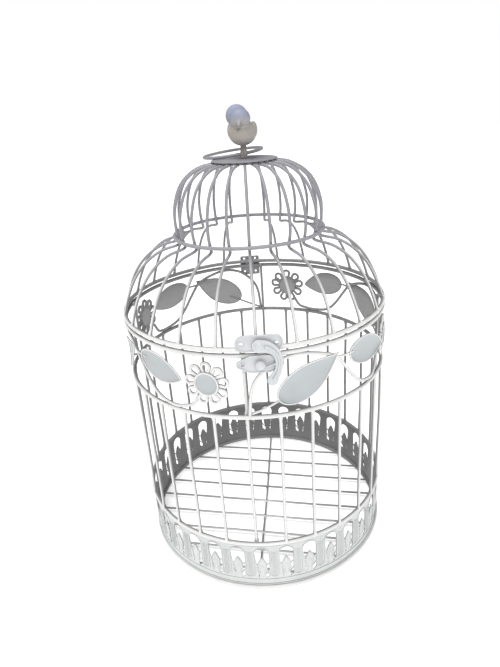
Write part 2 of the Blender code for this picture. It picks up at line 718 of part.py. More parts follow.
def make_latch():
    """Lid plate with its riveted hook, and the body's keeper plate with its stud."""
    spot = latch_places()
    middle_y = -(OUTER_FACE + LATCH_SHEET / 2)
    screw_x = LATCH_WIDTH / 2 - SCREW_INSET
    drop = -HOOK_PIVOT_DROP
    shaft_hole = RIVET_SHAFT + GAP
    holes = [hole((-screw_x, 0), SCREW_HOLE), hole((screw_x, 0), SCREW_HOLE)]
    outline = plate_outline(LATCH_WIDTH, LATCH_HEIGHT, False)
    plate = sheet("latch_plate", [outline, *holes, hole((0, drop), shaft_hole, 16)],
                  LATCH_SHEET, STEEL_PAINT)
    upright(plate, LATCH_X, middle_y, spot["plate_z"])

    neck_hole = STUD_NECK * 0.7 + GAP
    outline = plate_outline(LATCH_WIDTH, KEEPER_HEIGHT, True)
    keeper = sheet("keeper_plate", [outline, *holes, hole((0, 0), neck_hole, 16)],
                   LATCH_SHEET, STEEL_PAINT)
    upright(keeper, LATCH_X, middle_y, spot["keeper_z"])

    hook_path = [
        (0.0, 0.0, 0.0057), (0.0055, -0.0008, 0.0052), (0.0105, -0.0036, 0.0042),
        (0.0140, -0.0085, 0.0034), (0.0148, -0.0150, 0.0030), (0.0138, -0.0212, 0.0030),
        (0.0112, -0.0262, 0.0036), (0.0090, -0.0300, 0.0044),
    ]
    hook = sheet("latch_hook", [strip(hook_path), hole((0, 0), shaft_hole, 16)],
                 HOOK_SHEET, STEEL_PAINT)
    pivot = bpy.data.objects.new("latch_hook_pivot", None)
    PARTS.objects.link(pivot)
    pivot.location = (LATCH_X, spot["hook_back"] - HOOK_SHEET / 2, spot["pivot_z"])
    hook.rotation_euler.x = math.pi / 2
    hook.parent = pivot

    hook_front = -(spot["hook_back"] - HOOK_SHEET)
    turned("hook_rivet", spot["pivot_z"], [
        (0, hook_front + GAP + 0.0016), (0.0022, hook_front + GAP + 0.0013),
        (0.0036, hook_front + GAP), (RIVET_SHAFT, hook_front + GAP),
        (RIVET_SHAFT, -spot["hook_back"] - GAP), (0.0032, -spot["hook_back"] - GAP),
        (0.0032, -spot["front"] + GAP), (RIVET_SHAFT, -spot["front"] + GAP),
        (RIVET_SHAFT, OUTER_FACE), (0, OUTER_FACE),
    ])
    head = -spot["front"] + STUD_RISE
    turned("keeper_stud", spot["keeper_z"], [
        (0, head + 0.0020), (STUD_HEAD * 0.72, head + 0.0016), (STUD_HEAD, head + 0.0006),
        (STUD_HEAD, head), (STUD_NECK, head), (STUD_NECK, -spot["front"] + GAP),
        (STUD_NECK * 0.7, -spot["front"] + GAP), (STUD_NECK * 0.7, OUTER_FACE),
        (0, OUTER_FACE),
    ])


def turned(name, z, profile):
    """A turned piece lying along -Y on the latch's middle line: heights are depths from the axis."""
    made = lathe(name, profile, 18, STEEL_PAINT)
    made.matrix_world = Matrix.Translation((LATCH_X, 0, z)) @ Matrix.Rotation(math.pi / 2, 4, "X")


def make_hinge():
    """Two leaves with their knuckles on one pin, outside the rings at the back."""
    axis_z = (TOP_RING_Z + LID_RING_Z) / 2
    inner = OUTER_FACE
    outer = inner + HINGE_SHEET
    axis_y = outer + KNUCKLE_RADIUS - GAP
    half = HINGE_WIDTH / 2
    centre_half = KNUCKLE_WIDTH / 2
    side_start = centre_half + RUNNING
    clear = KNUCKLE_RADIUS + RUNNING
    hole_x = half * HINGE_HOLE_SHARE

    def leaf(name, low_z, high_z, spans, hole_z):
        body = block(name, (-half, inner, low_z), (half, outer, high_z), STEEL_PAINT)
        near, far = sorted((axis_z, low_z if low_z > axis_z else high_z))
        adds = []
        for number, (left, right) in enumerate(spans):
            low = (left, inner, near - GAP)
            high = (right, outer, far + GAP)
            adds.append(block(f"{name}_tab_{number}", low, high, STEEL_PAINT))
            adds.append(rod(f"{name}_knuckle_{number}", KNUCKLE_RADIUS,
                            (left, axis_y, axis_z), (right, axis_y, axis_z), STEEL_PAINT, 16))
        cuts = [rod(f"{name}_bore", HINGE_PIN + RUNNING, (-half * 2, axis_y, axis_z),
                    (half * 2, axis_y, axis_z), STEEL_PAINT, 12)]
        for side in (-1, 1):
            cuts.append(rod(f"{name}_hole_{side}", SCREW_HOLE, (side * hole_x, 0, hole_z),
                            (side * hole_x, axis_y * 2, hole_z), STEEL_PAINT, 10))
        combine(body, adds)
        combine(body, cuts, "DIFFERENCE")
        body.location.x = HINGE_X

    lower_edge = axis_z - LOWER_LEAF_DROP
    upper_edge = axis_z + UPPER_LEAF_RISE
    leaf("hinge_leaf_lower", lower_edge, axis_z - clear,
         [(-half, -side_start), (side_start, half)], lower_edge + LOWER_HOLE_INSET)
    leaf("hinge_leaf_upper", axis_z + clear, upper_edge,
         [(-centre_half, centre_half)], upper_edge - UPPER_HOLE_INSET)
    end = half + RUNNING
    rim = KNUCKLE_RADIUS * 0.8
    pin = lathe("hinge_pin", [
        (0, end + 0.0008), (rim, end + 0.0008), (rim, end), (HINGE_PIN, end),
        (HINGE_PIN, -end), (rim, -end), (rim, -end - 0.0008), (0, -end - 0.0008),
    ], 12, STEEL_PAINT)
    on_axis = Matrix.Translation((HINGE_X, axis_y, axis_z))
    pin.matrix_world = on_axis @ Matrix.Rotation(math.pi / 2, 4, "Y")


clear_scene()
PARTS = new_collection("wedding_card_box")
PAINT = paint("white_paint", WHITE)
LEAF = paint("leaf_paint", WHITE, 0.35)
BIRD = paint("bird_paint", GREY, 0.5)
STEEL_PAINT = paint("fitting_paint", STEEL, 0.3)
make_body_rings()
make_gallery()
make_wall()
make_floor()
make_floral_band()
make_dome()
make_crown()
make_latch()
make_hinge()
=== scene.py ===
"""Looks of the wire birdcage card box: every wire, leaf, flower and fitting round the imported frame."""

import json
import math

import bmesh
import bpy
from mathutils import Matrix, Vector, noise


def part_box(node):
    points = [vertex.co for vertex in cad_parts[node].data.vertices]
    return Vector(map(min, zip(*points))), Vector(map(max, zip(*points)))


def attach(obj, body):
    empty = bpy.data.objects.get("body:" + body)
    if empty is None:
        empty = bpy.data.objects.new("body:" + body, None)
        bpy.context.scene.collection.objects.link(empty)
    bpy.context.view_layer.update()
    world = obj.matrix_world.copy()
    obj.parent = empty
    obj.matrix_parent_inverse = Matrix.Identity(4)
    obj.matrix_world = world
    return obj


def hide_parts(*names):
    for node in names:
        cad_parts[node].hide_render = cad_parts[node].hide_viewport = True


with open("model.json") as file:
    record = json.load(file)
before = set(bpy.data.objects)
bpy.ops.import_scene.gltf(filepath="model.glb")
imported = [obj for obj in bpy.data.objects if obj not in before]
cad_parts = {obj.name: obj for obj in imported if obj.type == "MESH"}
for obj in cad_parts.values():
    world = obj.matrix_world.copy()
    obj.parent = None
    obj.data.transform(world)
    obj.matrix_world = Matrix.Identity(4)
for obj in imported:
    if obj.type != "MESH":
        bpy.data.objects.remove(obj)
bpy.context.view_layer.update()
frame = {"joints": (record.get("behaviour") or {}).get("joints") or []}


# ---- places taken from the frame ----
def middle(node, axis=2):
    low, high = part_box(node)
    return float(low[axis] + high[axis]) / 2


def joint_of(name):
    return next(joint for joint in frame["joints"] if joint["name"] == name)


def joint_place(name):
    return Vector(joint_of(name)["pos_m"])


RING_LOW, RING_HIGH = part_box("mid_ring")
RING_SIDES = 6  # the CAD ring's section has a flat side down
RING_HALF = float(RING_HIGH[2] - RING_LOW[2]) / 2
RING_REACH = RING_HALF / math.cos(math.pi / RING_SIDES)
CAGE_RADIUS = float(RING_HIGH[1] - RING_LOW[1]) / 2 - RING_REACH
FOOT_Z = middle("bottom_ring")
GALLERY_RING_Z = middle("gallery_top_ring")
MID_Z = middle("mid_ring")
TOP_Z = middle("top_ring")
LID_Z = middle("lid_ring")
BAND_HEIGHT = TOP_Z - MID_Z
BIRD_MIDDLE_Z = middle("finial_bird")

# ---- sizes of the wires and trim, in metres and degrees ----
RING_WIRE = 0.0020  # wire values are radii
FOOT_WIRE = 0.0024
NECK_WIRE = 0.0017
BAR_WIRE = 0.00145
RIB_WIRE = 0.00135
VINE_WIRE = 0.0015
PETAL_WIRE = 0.0015
FLOOR_WIRE = 0.0011
POST_START = 84.5  # angle of the first post
POST_INSET = 0.0038  # the posts stand this far inside the rings' centre line
BAR_COUNT = 28
POST_COUNT = 4
FIRST_WELD = 205  # the angle that the rings' butt welds are counted on from
WELD_STEP = 31  # from one ring's weld to the next ring's

FLOOR_PITCH = 0.0246
FLOOR_ROW_TURN = -11.2
FLOOR_ROW_SHIFT = -0.0068  # the middle row's distance from the cage's axis
FLOOR_ROW_Z = FOOT_Z + 0.0016
FLOOR_CROSS_Z = FLOOR_ROW_Z - 2 * FLOOR_WIRE + 0.0002

ARCH_COUNT = 34
ARCH_TURN = 1.6  # angle of the first arch's middle

LEAF_SHEET = 0.0008
LEAF_LAYER = 0.0022  # the leaf's front over the cage's radius
LEAF_RIM = 0.00075
FLOWER_ANGLE = 75.8  # a flower's centre past its post
FLOWER_RISE = 0.538  # share of the band's height under it
FLOWER_RADIUS = 0.0203
CUP_RADIUS = FLOWER_RADIUS * 0.53
PETAL_HALF = FLOWER_RADIUS * 0.175
PETAL_COUNT = 9

RIB_COUNT = 24
NECK_RADIUS = 0.0697
NECK_Z = LID_Z + 0.0658
DOME_RISE = 0.0612  # from the neck ring to the ribs' upper ends
RIB_TOP_RADIUS = 0.022
RIB_TOP_Z = NECK_Z + DOME_RISE
CROWN_PLATE = 0.0016
HANGING_RING_RADIUS = 0.0275
HANGING_RING_WIRE = 0.00145
HANGING_RING_TURN = 21.8  # the ring lies back and a little to the left
HANGING_RING_TILT = -5  # its left side lies lower
HANGING_RING_LEAN = -1.5  # its far side lies lower

SCREW_HOLE = 0.0012
SCREW_INSET = 0.0052  # from a latch plate's end to its screw hole
SHAFT_HOLE = 0.0019
PIVOT_DROP = -0.0015  # the rivet's place under the latch plate's centre
PLATE_RIM = 0.0008
STUD_NECK = 0.0022
KNUCKLE_RADIUS = 0.0023
KNUCKLE_HALF = 0.0035  # half the middle knuckle's length
HINGE_SHEET = 0.0010
HINGE_BORE = 0.0013
HINGE_PIN = 0.0010
HINGE_HOLE_SHARE = 0.58  # the holes' place between the hinge's middle and its end
RUNNING = 0.0003  # clearance beside and round the knuckles

UNEVEN_SEED = 4  # the wires' unevenness is drawn from it

# ---- light and camera ----
AMBIENT = 0.15
FLOOR_GLOW = 0.40
FLOOR_HALF = 6
FLOOR_Z = -0.0002
KEY_LIGHT = 1.45
TOP_LIGHT = 2.7
LENS = 28.58
CAMERA_YAW = 0.66
CAMERA_DIP = 23.5  # how far the view points under level
CAMERA_ROLL = -4.02
CAMERA_BACK = 3.969  # in cage radii, as CAMERA_UP is
CAMERA_UP = 3.422
UPWARD = Vector((0, 0, 1))
noise.seed_set(UNEVEN_SEED)


# ---- mesh building ----
def polar(radius, angle, z):
    turn = math.radians(angle)
    return Vector((radius * math.cos(turn), radius * math.sin(turn), z))


def spin(angle, axis="Z"):
    """A turn about one axis, in degrees."""
    return Matrix.Rotation(math.radians(angle), 4, axis)


def smooth(points, steps):
    """Points along a Catmull-Rom curve through the given points."""
    ends = [points[0] * 2 - points[1], *points, points[-1] * 2 - points[-2]]
    out = []
    for a, b, c, d in zip(ends, ends[1:], ends[2:], ends[3:]):
        for k in range(steps):
            t = k / steps
            out.append(
                0.5 * (2 * b + (c - a) * t + (2 * a - 5 * b + 4 * c - d) * t ** 2
                       + (3 * b - a - 3 * c + d) * t ** 3)
            )
    return [*out, points[-1]]


def wobble(point, size, seed, scale=30.0):
    """A small steady unevenness for handmade wires."""
    return noise.noise_vector(Vector(point) * scale + Vector((seed, 7.3 * seed, 0))) * size


class Shape:
    """The mesh of one piece, put together from tubes, turned parts, blobs and sheets."""

    def __init__(self):
        self.bm = bmesh.new()

    def skin(self, loops, closed_long=False):
        """Faces between neighbouring closed loops of points."""
        rows = [[self.bm.verts.new(point) for point in loop] for loop in loops]
        around = len(rows[0])
        last_row = len(rows) if closed_long else len(rows) - 1
        for j in range(last_row):
            one, two = rows[j], rows[(j + 1) % len(rows)]
            for k in range(around):
                n = (k + 1) % around
                self.bm.faces.new((one[k], one[n], two[n], two[k]))
        return rows

    def tube(self, points, radius, sides=12, closed=False, normal=None):
        """A round wire along the points; radius is one number or one for each point."""
        count = len(points)
        radii = radius if isinstance(radius, list) else [radius] * count
        loops = []
        for k, point in enumerate(points):
            if closed:
                along = points[(k + 1) % count] - points[k - 1]
            else:
                along = points[min(k + 1, count - 1)] - points[max(k - 1, 0)]
            along.normalize()
            if normal is None:
                normal = along.orthogonal()
            normal = (normal - along * normal.dot(along)).normalized()
            side = along.cross(normal)
            loops.append([
                point + (normal * math.cos(math.tau * j / sides)
                         + side * math.sin(math.tau * j / sides)) * radii[k]
                for j in range(sides)
            ])
        if closed:
            self.skin(loops, closed_long=True)
            return
        for end, sign in ((0, -1), (-1, 1)):
            along = points[end] - points[1 if end == 0 else -2]
            along.normalize()
            rounded = []
            for bend in (35, 70):
                shrink = math.cos(math.radians(bend))
                push = math.sin(math.radians(bend)) * radii[end]
                rounded.append([points[end] + (p - points[end]) * shrink + along * push
                                for p in loops[end]])
            if sign < 0:
                loops = [*rounded[::-1], *loops]
            else:
                loops = [*loops, *rounded]
        rows = self.skin(loops)
        self.bm.faces.new(rows[0][::-1])
        self.bm.faces.new(rows[-1])

    def turned(self, profile, matrix=None, steps=32):
        """A turned part: (radius, height) points down its outer side, about Z, then placed."""
        matrix = matrix or Matrix.Identity(4)
        loops = []
        for reach, z in profile:
            reach = max(reach, 1e-5)
            loops.append([matrix @ Vector((reach * math.cos(math.tau * j / steps),
                                           reach * math.sin(math.tau * j / steps), z))
                          for j in range(steps)])
        rows = self.skin(loops[::-1])
        self.bm.faces.new(rows[0][::-1])
        self.bm.faces.new(rows[-1])
        return self

    def hoop_of(self, section, steps=48):
        """A turned ring: its closed (radius, height) section swept about Z."""
        loops = []
        for j in range(steps):
            turn = math.tau * j / steps
            loops.append([Vector((reach * math.cos(turn), reach * math.sin(turn), z))
                          for reach, z in section])
        self.skin(loops, closed_long=True)
        return self

    def blob(self, place, size, matrix=None, segments=12, rings=8):
        """A stretched ball, such as a weld bead."""
        turn = matrix or Matrix.Identity(4)
        stretch = Matrix.Diagonal((*size, 1.0))
        bmesh.ops.create_uvsphere(
            self.bm, u_segments=segments, v_segments=rings, radius=1.0,
            matrix=Matrix.Translation(place) @ turn @ stretch,
        )

    def take(self, data):
        """Another mesh's geometry as well."""
        self.bm.from_mesh(data)

    def join(self, other):
        """Another Shape's geometry as well; the other is used up."""
        data = bpy.data.meshes.new("joined")
        other.bm.to_mesh(data)
        other.bm.free()
        self.bm.from_mesh(data)
        bpy.data.meshes.remove(data)

    def move(self, change):
        """Every point replaced by what change() says."""
        for vert in self.bm.verts:
            vert.co = change(vert.co.copy())

    def piece(self, name, body, nodes, material, slot, sharp=38):
        """The finished object, riding on its body in place of its CAD nodes."""
        bmesh.ops.recalc_face_normals(self.bm, faces=self.bm.faces)
        data = bpy.data.meshes.new(name)
        self.bm.to_mesh(data)
        self.bm.free()
        data.shade_smooth()
        data.set_sharp_from_angle(angle=math.radians(sharp))
        made = bpy.data.objects.new(name, data)
        bpy.context.scene.collection.objects.link(made)
        data.materials.append(material)
        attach(made, body)
        if nodes:
            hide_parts(*nodes)


def flat_sheet(outlines, thickness, edge, resolution=3):
    """A flat plate's mesh in its XY plane, with rounded edges; later outlines are its holes."""
    curve = bpy.data.curves.new("flat_sheet", "CURVE")
    curve.dimensions = "2D"
    curve.fill_mode = "BOTH"
    curve.extrude = thickness / 2 - edge
    curve.bevel_depth = edge
    curve.bevel_resolution = resolution
    curve.offset = -edge
    for outline in outlines:
        spline = curve.splines.new("POLY")
        spline.points.add(len(outline) - 1)
        for target, (x, y) in zip(spline.points, outline):
            target.co = (x, y, 0.0, 1.0)
        spline.use_cyclic_u = True
    holder = bpy.data.objects.new("flat_sheet", curve)
    bpy.context.scene.collection.objects.link(holder)
    bpy.context.view_layer.update()
    graph = bpy.context.evaluated_depsgraph_get()
    data = bpy.data.meshes.new_from_object(holder.evaluated_get(graph))
    bpy.data.objects.remove(holder, do_unlink=True)
    bpy.data.curves.remove(curve)
    return data


def arc(centre, radius, start, end, count):
    out = []
    for k in range(count):
        turn = math.radians(start + (end - start) * k / (count - 1))
        out.append((centre[0] + radius * math.cos(turn), centre[1] + radius * math.sin(turn)))
    return out


def circle(centre, radius, sides=24):
    return arc(centre, radius, 0, 360 - 360 / sides, sides)


def slice_up(data_bm, slice_width):
    """Cuts flat geometry across its X at even steps, so that it can be bent round the cage."""
    low = min(vert.co.x for vert in data_bm.verts)
    high = max(vert.co.x for vert in data_bm.verts)
    cut = (math.floor(low / slice_width) + 1) * slice_width
    while cut < high - 1e-5:
        geometry = [*data_bm.verts, *data_bm.edges, *data_bm.faces]
        bmesh.ops.bisect_plane(
            data_bm, geom=geometry, dist=1e-7, plane_co=(cut, 0, 0), plane_no=(1, 0, 0)
        )
        cut += slice_width


def on_wall(point, angle):
    """Where a flat (arc length, height, depth outward) point lies on the cage's wall."""
    turn = point.x / CAGE_RADIUS + math.radians(angle)
    reach = CAGE_RADIUS + point.z
    return Vector((reach * math.cos(turn), reach * math.sin(turn), point.y))


# ---- materials ----
UPPER_SHADE_SPAN = (LID_Z + 0.012, NECK_Z + 0.010)  # where the paint darkens to its upper tone: painted shade over the dome


def link(tree, source, output, target, socket):
    tree.links.new(source.outputs[output], target.inputs[socket])


def node(tree, kind, **values):
    made = tree.nodes.new(kind)
    for name, value in values.items():
        if name in made.inputs:
            made.inputs[name].default_value = value
        else:
            setattr(made, name, value)
    return made


def mixed(tree, factor, one, two):
    """A colour mix; each input is a colour or a (node, output) pair."""
    made = tree.nodes.new("ShaderNodeMix")
    made.data_type = "RGBA"
    for socket, value in (("Factor", factor), ("A", one), ("B", two)):
        target = [s for s in made.inputs if s.name == socket and s.type in ("RGBA", "VALUE")]
        target = target[0] if socket == "Factor" else [s for s in target if s.type == "RGBA"][0]
        if isinstance(value, tuple) and hasattr(value[0], "outputs"):
            tree.links.new(value[0].outputs[value[1]], target)
        elif socket == "Factor":
            target.default_value = value
        else:
            target.default_value = (*value, 1.0)
    return made, [k for k, s in enumerate(made.outputs) if s.type == "RGBA"][0]


def ramp(tree, stops, source):
    """A ramp over the source's value; each stop is a place and a grey or a colour."""
    made = tree.nodes.new("ShaderNodeValToRGB")
    elements = made.color_ramp.elements
    while len(elements) < len(stops):
        elements.new(0.5)
    for element, (place, value) in zip(elements, stops):
        element.position = place
        shade = value if isinstance(value, tuple) else (value, value, value)
        element.color = (*shade, 1.0)
    tree.links.new(source[0].outputs[source[1]], made.inputs["Fac"])
    return made


def inward_shade_share(tree, where):
    """The share of painted shade: 0 on a face that looks straight out from the cage's axis, rising to 1 on
    one that looks in.
    """
    geometry = node(tree, "ShaderNodeNewGeometry")
    outward = node(tree, "ShaderNodeVectorMath", operation="MULTIPLY")
    outward.inputs[1].default_value = (1.0, 1.0, 0.0)
    link(tree, where, "Object", outward, 0)
    unit = node(tree, "ShaderNodeVectorMath", operation="NORMALIZE")
    link(tree, outward, "Vector", unit, 0)
    facing = node(tree, "ShaderNodeVectorMath", operation="DOT_PRODUCT")
    link(tree, unit, "Vector", facing, 0)
    link(tree, geometry, "Normal", facing, 1)
    return smooth_share(tree, facing, "Value", 0.98, -0.15)


def smooth_share(tree, source, output, start, end):
    """0 where the source's value is at the start, rising smoothly to 1 at the end."""
    made = node(tree, "ShaderNodeMapRange", interpolation_type="SMOOTHSTEP")
    made.inputs["From Min"].default_value = start
    made.inputs["From Max"].default_value = end
    link(tree, source, output, made, "Value")
    return (made, "Result")


def pitted(tree, shader, fine, worn):
    """The paint's grain, with broader pits over it."""
    grain = node(tree, "ShaderNodeBump", Strength=0.22, Distance=0.0004)
    link(tree, fine, "Fac", grain, "Height")
    pits = node(tree, "ShaderNodeBump", Strength=0.25, Distance=0.0008)
    link(tree, worn, "Fac", pits, "Height")
    link(tree, grain, "Normal", pits, "Normal")
    link(tree, pits, "Normal", shader, "Normal")


def chalk_paint(name, colour, inner_shade, upper, roughness=0.42, speck=0.35, upper_span=UPPER_SHADE_SPAN):
    """White paint on steel: mottled and a little pitted, with painted shade greying the faces turned from
    straight out, most of all those that look in, and painted shade turning it to a darker upper tone
    higher up (on the bird, a bluer tone over its head).
    """
    material = bpy.data.materials.new(name)
    material.use_nodes = True
    tree = material.node_tree
    shader = tree.nodes["Principled BSDF"]
    where = node(tree, "ShaderNodeTexCoord")
    broad = node(tree, "ShaderNodeTexNoise", Scale=28.0, Detail=4.0, Roughness=0.6)
    fine = node(tree, "ShaderNodeTexNoise", Scale=900.0, Detail=5.0, Roughness=0.65)
    worn = node(tree, "ShaderNodeTexNoise", Scale=240.0, Detail=6.0, Roughness=0.7)
    for texture in (broad, fine, worn):
        link(tree, where, "Object", texture, "Vector")

    duller = tuple(c * 0.90 for c in colour)
    mottled = ramp(tree, [(0.30, duller), (0.70, colour)], (broad, "Fac"))
    # painted shade: faces turned from straight out grey towards the inner shade colour
    tone, out = mixed(tree, inward_shade_share(tree, where), (mottled, "Color"), inner_shade)
    split = node(tree, "ShaderNodeSeparateXYZ")
    link(tree, where, "Object", split, "Vector")
    # painted shade: higher up the paint turns to its darker upper tone; the bird's own span brings in its
    # bluer head tone instead
    tone, out = mixed(tree, smooth_share(tree, split, "Z", *upper_span), (tone, out), upper)
    chips = ramp(tree, [(0.30, speck), (0.36, 0.0)], (worn, "Fac"))
    tone, out = mixed(tree, (chips, "Color"), (tone, out), (0.20, 0.19, 0.18))
    tree.links.new(tone.outputs[out], shader.inputs["Base Color"])

    rough = ramp(tree, [(0.35, roughness - 0.08), (0.65, roughness + 0.14)], (fine, "Fac"))
    link(tree, rough, "Color", shader, "Roughness")
    shader.inputs["Specular IOR Level"].default_value = 0.45
    pitted(tree, shader, fine, worn)
    return material


# ---- the body's wires ----
def hoop(radius, z, wire, seed, steps=168):
    """The points and radii of a ring of wire that was bent by hand."""
    points = []
    for k in range(steps):
        point = polar(radius, 360.0 * k / steps, z)
        points.append(point + wobble(point, 0.0004, seed, 12))
    radii = [wire * (1 + 0.03 * noise.noise(point * 200)) for point in points]
    return points, radii


def make_rings():
    """The big rings, each with its butt weld; the foot ring stands flat."""
    rings = {
        "bottom_ring": (FOOT_Z, FOOT_WIRE, "cage"),
        "gallery_top_ring": (GALLERY_RING_Z, RING_WIRE, "cage"),
        "mid_ring": (MID_Z, RING_WIRE, "cage"),
        "top_ring": (TOP_Z, RING_WIRE, "cage"),
        "lid_ring": (LID_Z, RING_WIRE, "lid"),
    }
    for seed, (name, (z, wire, body)) in enumerate(rings.items()):
        shape = Shape()
        points, radii = hoop(CAGE_RADIUS, z, wire, seed + 1)
        if name == "bottom_ring":
            points = [Vector((p.x, p.y, z)) for p in points]
            radii = wire
        shape.tube(points, radii, 14, closed=True, normal=UPWARD)
        if name != "bottom_ring":
            bearing = FIRST_WELD + WELD_STEP * seed
            turn = spin(bearing)
            weld = polar(CAGE_RADIUS, bearing, z)
            shape.blob(weld, (wire * 1.12, wire * 1.3, wire * 1.12), turn)
        shape.piece(f"{name}_wire", body, [name], PAINT, "white_paint")


def welded_wire(shape, start, end, wire, seed, steps=26, sides=12):
    """A straight wire, not quite true, that swells into its weld at either end."""
    points = []
    radii = []
    for k in range(steps + 1):
        t = k / steps
        t = t * t * (3 - 2 * t) * 0.35 + t * 0.65
        point = start.lerp(end, t)
        bow = math.sin(math.pi * t)
        points.append(point + wobble(point, 0.0011 * bow, seed, 9))
        near = min((point - start).length, (point - end).length)
        radii.append(wire * (1 + 0.55 * math.exp(-(near / 0.0016) ** 2)
                             + 0.04 * noise.noise(point * 300 + Vector((seed, 0, 0)))))
    shape.tube(points, radii, sides)


def make_wall():
    """Bars between the rings, and the posts inside them that go on up to the top ring."""
    per_post = BAR_COUNT // POST_COUNT
    bar = 0
    for k in range(BAR_COUNT):
        angle = POST_START + 360.0 * k / BAR_COUNT
        shape = Shape()
        foot = GALLERY_RING_Z + RING_WIRE * 0.6
        if k % per_post == 0:
            name = f"post_{k // per_post + 1}"
            reach = CAGE_RADIUS - POST_INSET
            head = TOP_Z + RING_WIRE * 0.3
            welded_wire(shape, polar(reach, angle, foot), polar(reach, angle, head),
                        BAR_WIRE, k + 1, 40)
            shape.blob(polar(reach + BAR_WIRE, angle, MID_Z), (0.0012, 0.0014, 0.0019))
        else:
            bar += 1
            name = f"bar_{bar:02d}"
            head = MID_Z - RING_WIRE * 0.6
            welded_wire(shape, polar(CAGE_RADIUS, angle, foot), polar(CAGE_RADIUS, angle, head),
                        BAR_WIRE, k + 1)
        shape.piece(f"{name}_wire", "cage", [name], PAINT, "white_paint")


def make_floor():
    """Parallel floor wires resting on one wire that runs from the front post to the back one."""
    reach = CAGE_RADIUS - FOOT_WIRE * 0.7
    along = polar(1.0, FLOOR_ROW_TURN, 0)
    across = polar(1.0, FLOOR_ROW_TURN + 90, 0)
    shape = Shape()
    for k in range(-5, 6):
        offset = k * FLOOR_PITCH + FLOOR_ROW_SHIFT
        if abs(offset) > reach - FLOOR_PITCH / 2:
            continue
        half = math.sqrt(reach ** 2 - offset ** 2)
        points = []
        for j in range(25):
            point = across * offset + along * half * (j / 12 - 1)
            point.z = FLOOR_ROW_Z
            points.append(point + wobble(point, 0.0006, k + 20, 14))
        shape.tube(points, FLOOR_WIRE, 10)
        crossing = offset / math.sin(math.radians(POST_START - FLOOR_ROW_TURN))
        weld = polar(crossing, POST_START, FLOOR_ROW_Z - FLOOR_WIRE)
        shape.blob(weld, (0.0017, 0.0017, 0.0012))
    points = []
    for j in range(31):
        point = polar(reach * (j / 15 - 1), POST_START, FLOOR_CROSS_Z)
        drift = wobble(point, 0.0012, 3, 10)
        points.append(point + Vector((drift.x, drift.y, 0)))
    shape.tube(points, FLOOR_WIRE, 10)
    shape.piece("floor_wires", "cage", ["floor_mesh"], PAINT, "white_paint")


# ---- the pierced gallery, one period of which is made flat about X = 0 ----
GALLERY_SHEET = 0.0007
GALLERY_LOW = 2 * FOOT_Z + 0.0001
GALLERY_HIGH = GALLERY_RING_Z - RING_WIRE + 0.0004
GALLERY_RISE = GALLERY_HIGH - GALLERY_LOW
ARCH_PITCH = math.tau * CAGE_RADIUS / ARCH_COUNT
ARCH_HALF = ARCH_PITCH * 0.29
SPRING_Z = GALLERY_LOW + GALLERY_RISE * 0.79  # where the round arch springs
SILL_Z = GALLERY_LOW + GALLERY_RISE * 0.15
SHOULDER_Z = GALLERY_LOW + GALLERY_RISE * 0.525  # the picket's shoulders
TIP_Z = GALLERY_LOW + GALLERY_RISE * 0.70
FOOT_TOP_Z = SILL_Z + 0.004
PICKET_HALF = ARCH_HALF * 0.70
PICKET_NECK = ARCH_HALF * 0.42
FACE = GALLERY_SHEET / 2  # the sheet's front
ARCH = arc((0, SPRING_Z), ARCH_HALF, 180, 0, 17)


def mirrored(side, spots, depth):
    """A line's (x, height) spots on one side of the arch's middle, at one depth."""
    return [Vector((side * x, height, depth)) for x, height in spots]


def arch_opening():
    """The hole under an arch, round its picket; the left side leans from the foot to the spring."""
    picket = [
        (PICKET_NECK, SILL_Z + 0.0065), (PICKET_HALF, SILL_Z + 0.012), (PICKET_HALF, SHOULDER_Z),
        (PICKET_HALF * 0.5, SHOULDER_Z * 0.35 + TIP_Z * 0.65), (0.0, TIP_Z),
    ]
    picket += [(-x, y) for x, y in picket[-2::-1]]
    foot = (PICKET_NECK * 1.2, SILL_Z + 0.001)
    return [*ARCH, (ARCH_HALF, FOOT_TOP_Z), foot, *picket, (-foot[0], foot[1])]


def add_bead(shape):
    """The bead round an arch and down its columns."""
    swell = 1.10
    side = ARCH_HALF * swell
    bead = [Vector((x * swell, SPRING_Z + (y - SPRING_Z) * swell, FACE)) for x, y in ARCH]
    bead = [Vector((-side, FOOT_TOP_Z, FACE)), *bead, Vector((side, FOOT_TOP_Z, FACE))]
    shape.tube(bead, 0.00055, 6)


def add_flutes(shape):
    """Upright flutes on the columns, as far as they lie in this period."""
    column = (ARCH_PITCH - 2 * ARCH_HALF) * 0.62
    for share in (-0.36, -0.12, 0.12, 0.36):
        top = SPRING_Z + (GALLERY_HIGH - SPRING_Z) * (0.10 + 0.35 * abs(share))
        for side in (-1, 1):
            x = side * ARCH_PITCH / 2 + share * column
            if abs(x) > ARCH_PITCH / 2:
                continue
            heights = (FOOT_TOP_Z, (SILL_Z + top) / 2, top)
            shape.tube([Vector((x, height, FACE)) for height in heights], 0.00042, 6)


def add_side_relief(shape, side):
    """A column's curled foot, half the picket's raised outline and its two ties to the column."""
    curl = arc((ARCH_PITCH / 2, SILL_Z + 0.0075), ARCH_PITCH * 0.205, 196, 268, 7)
    edge = [(PICKET_NECK * 0.8, SILL_Z + 0.007), (PICKET_HALF * 0.86, SILL_Z + 0.0125),
            (PICKET_HALF * 0.86, SHOULDER_Z), (0, TIP_Z - 0.0012)]
    upper_tie = [(PICKET_HALF * 0.9, SHOULDER_Z - 0.001), (ARCH_HALF * 1.05, SHOULDER_Z + 0.001)]
    lower_tie = [(PICKET_NECK, SILL_Z + 0.006), (ARCH_HALF * 1.02, SILL_Z + 0.0115)]
    shape.tube(mirrored(side, curl, FACE), 0.0005, 6)
    shape.tube(mirrored(side, edge, FACE), 0.00042, 6)
    for tie in (upper_tie, lower_tie):
        shape.tube(mirrored(side, tie, 0), 0.0006, 6)


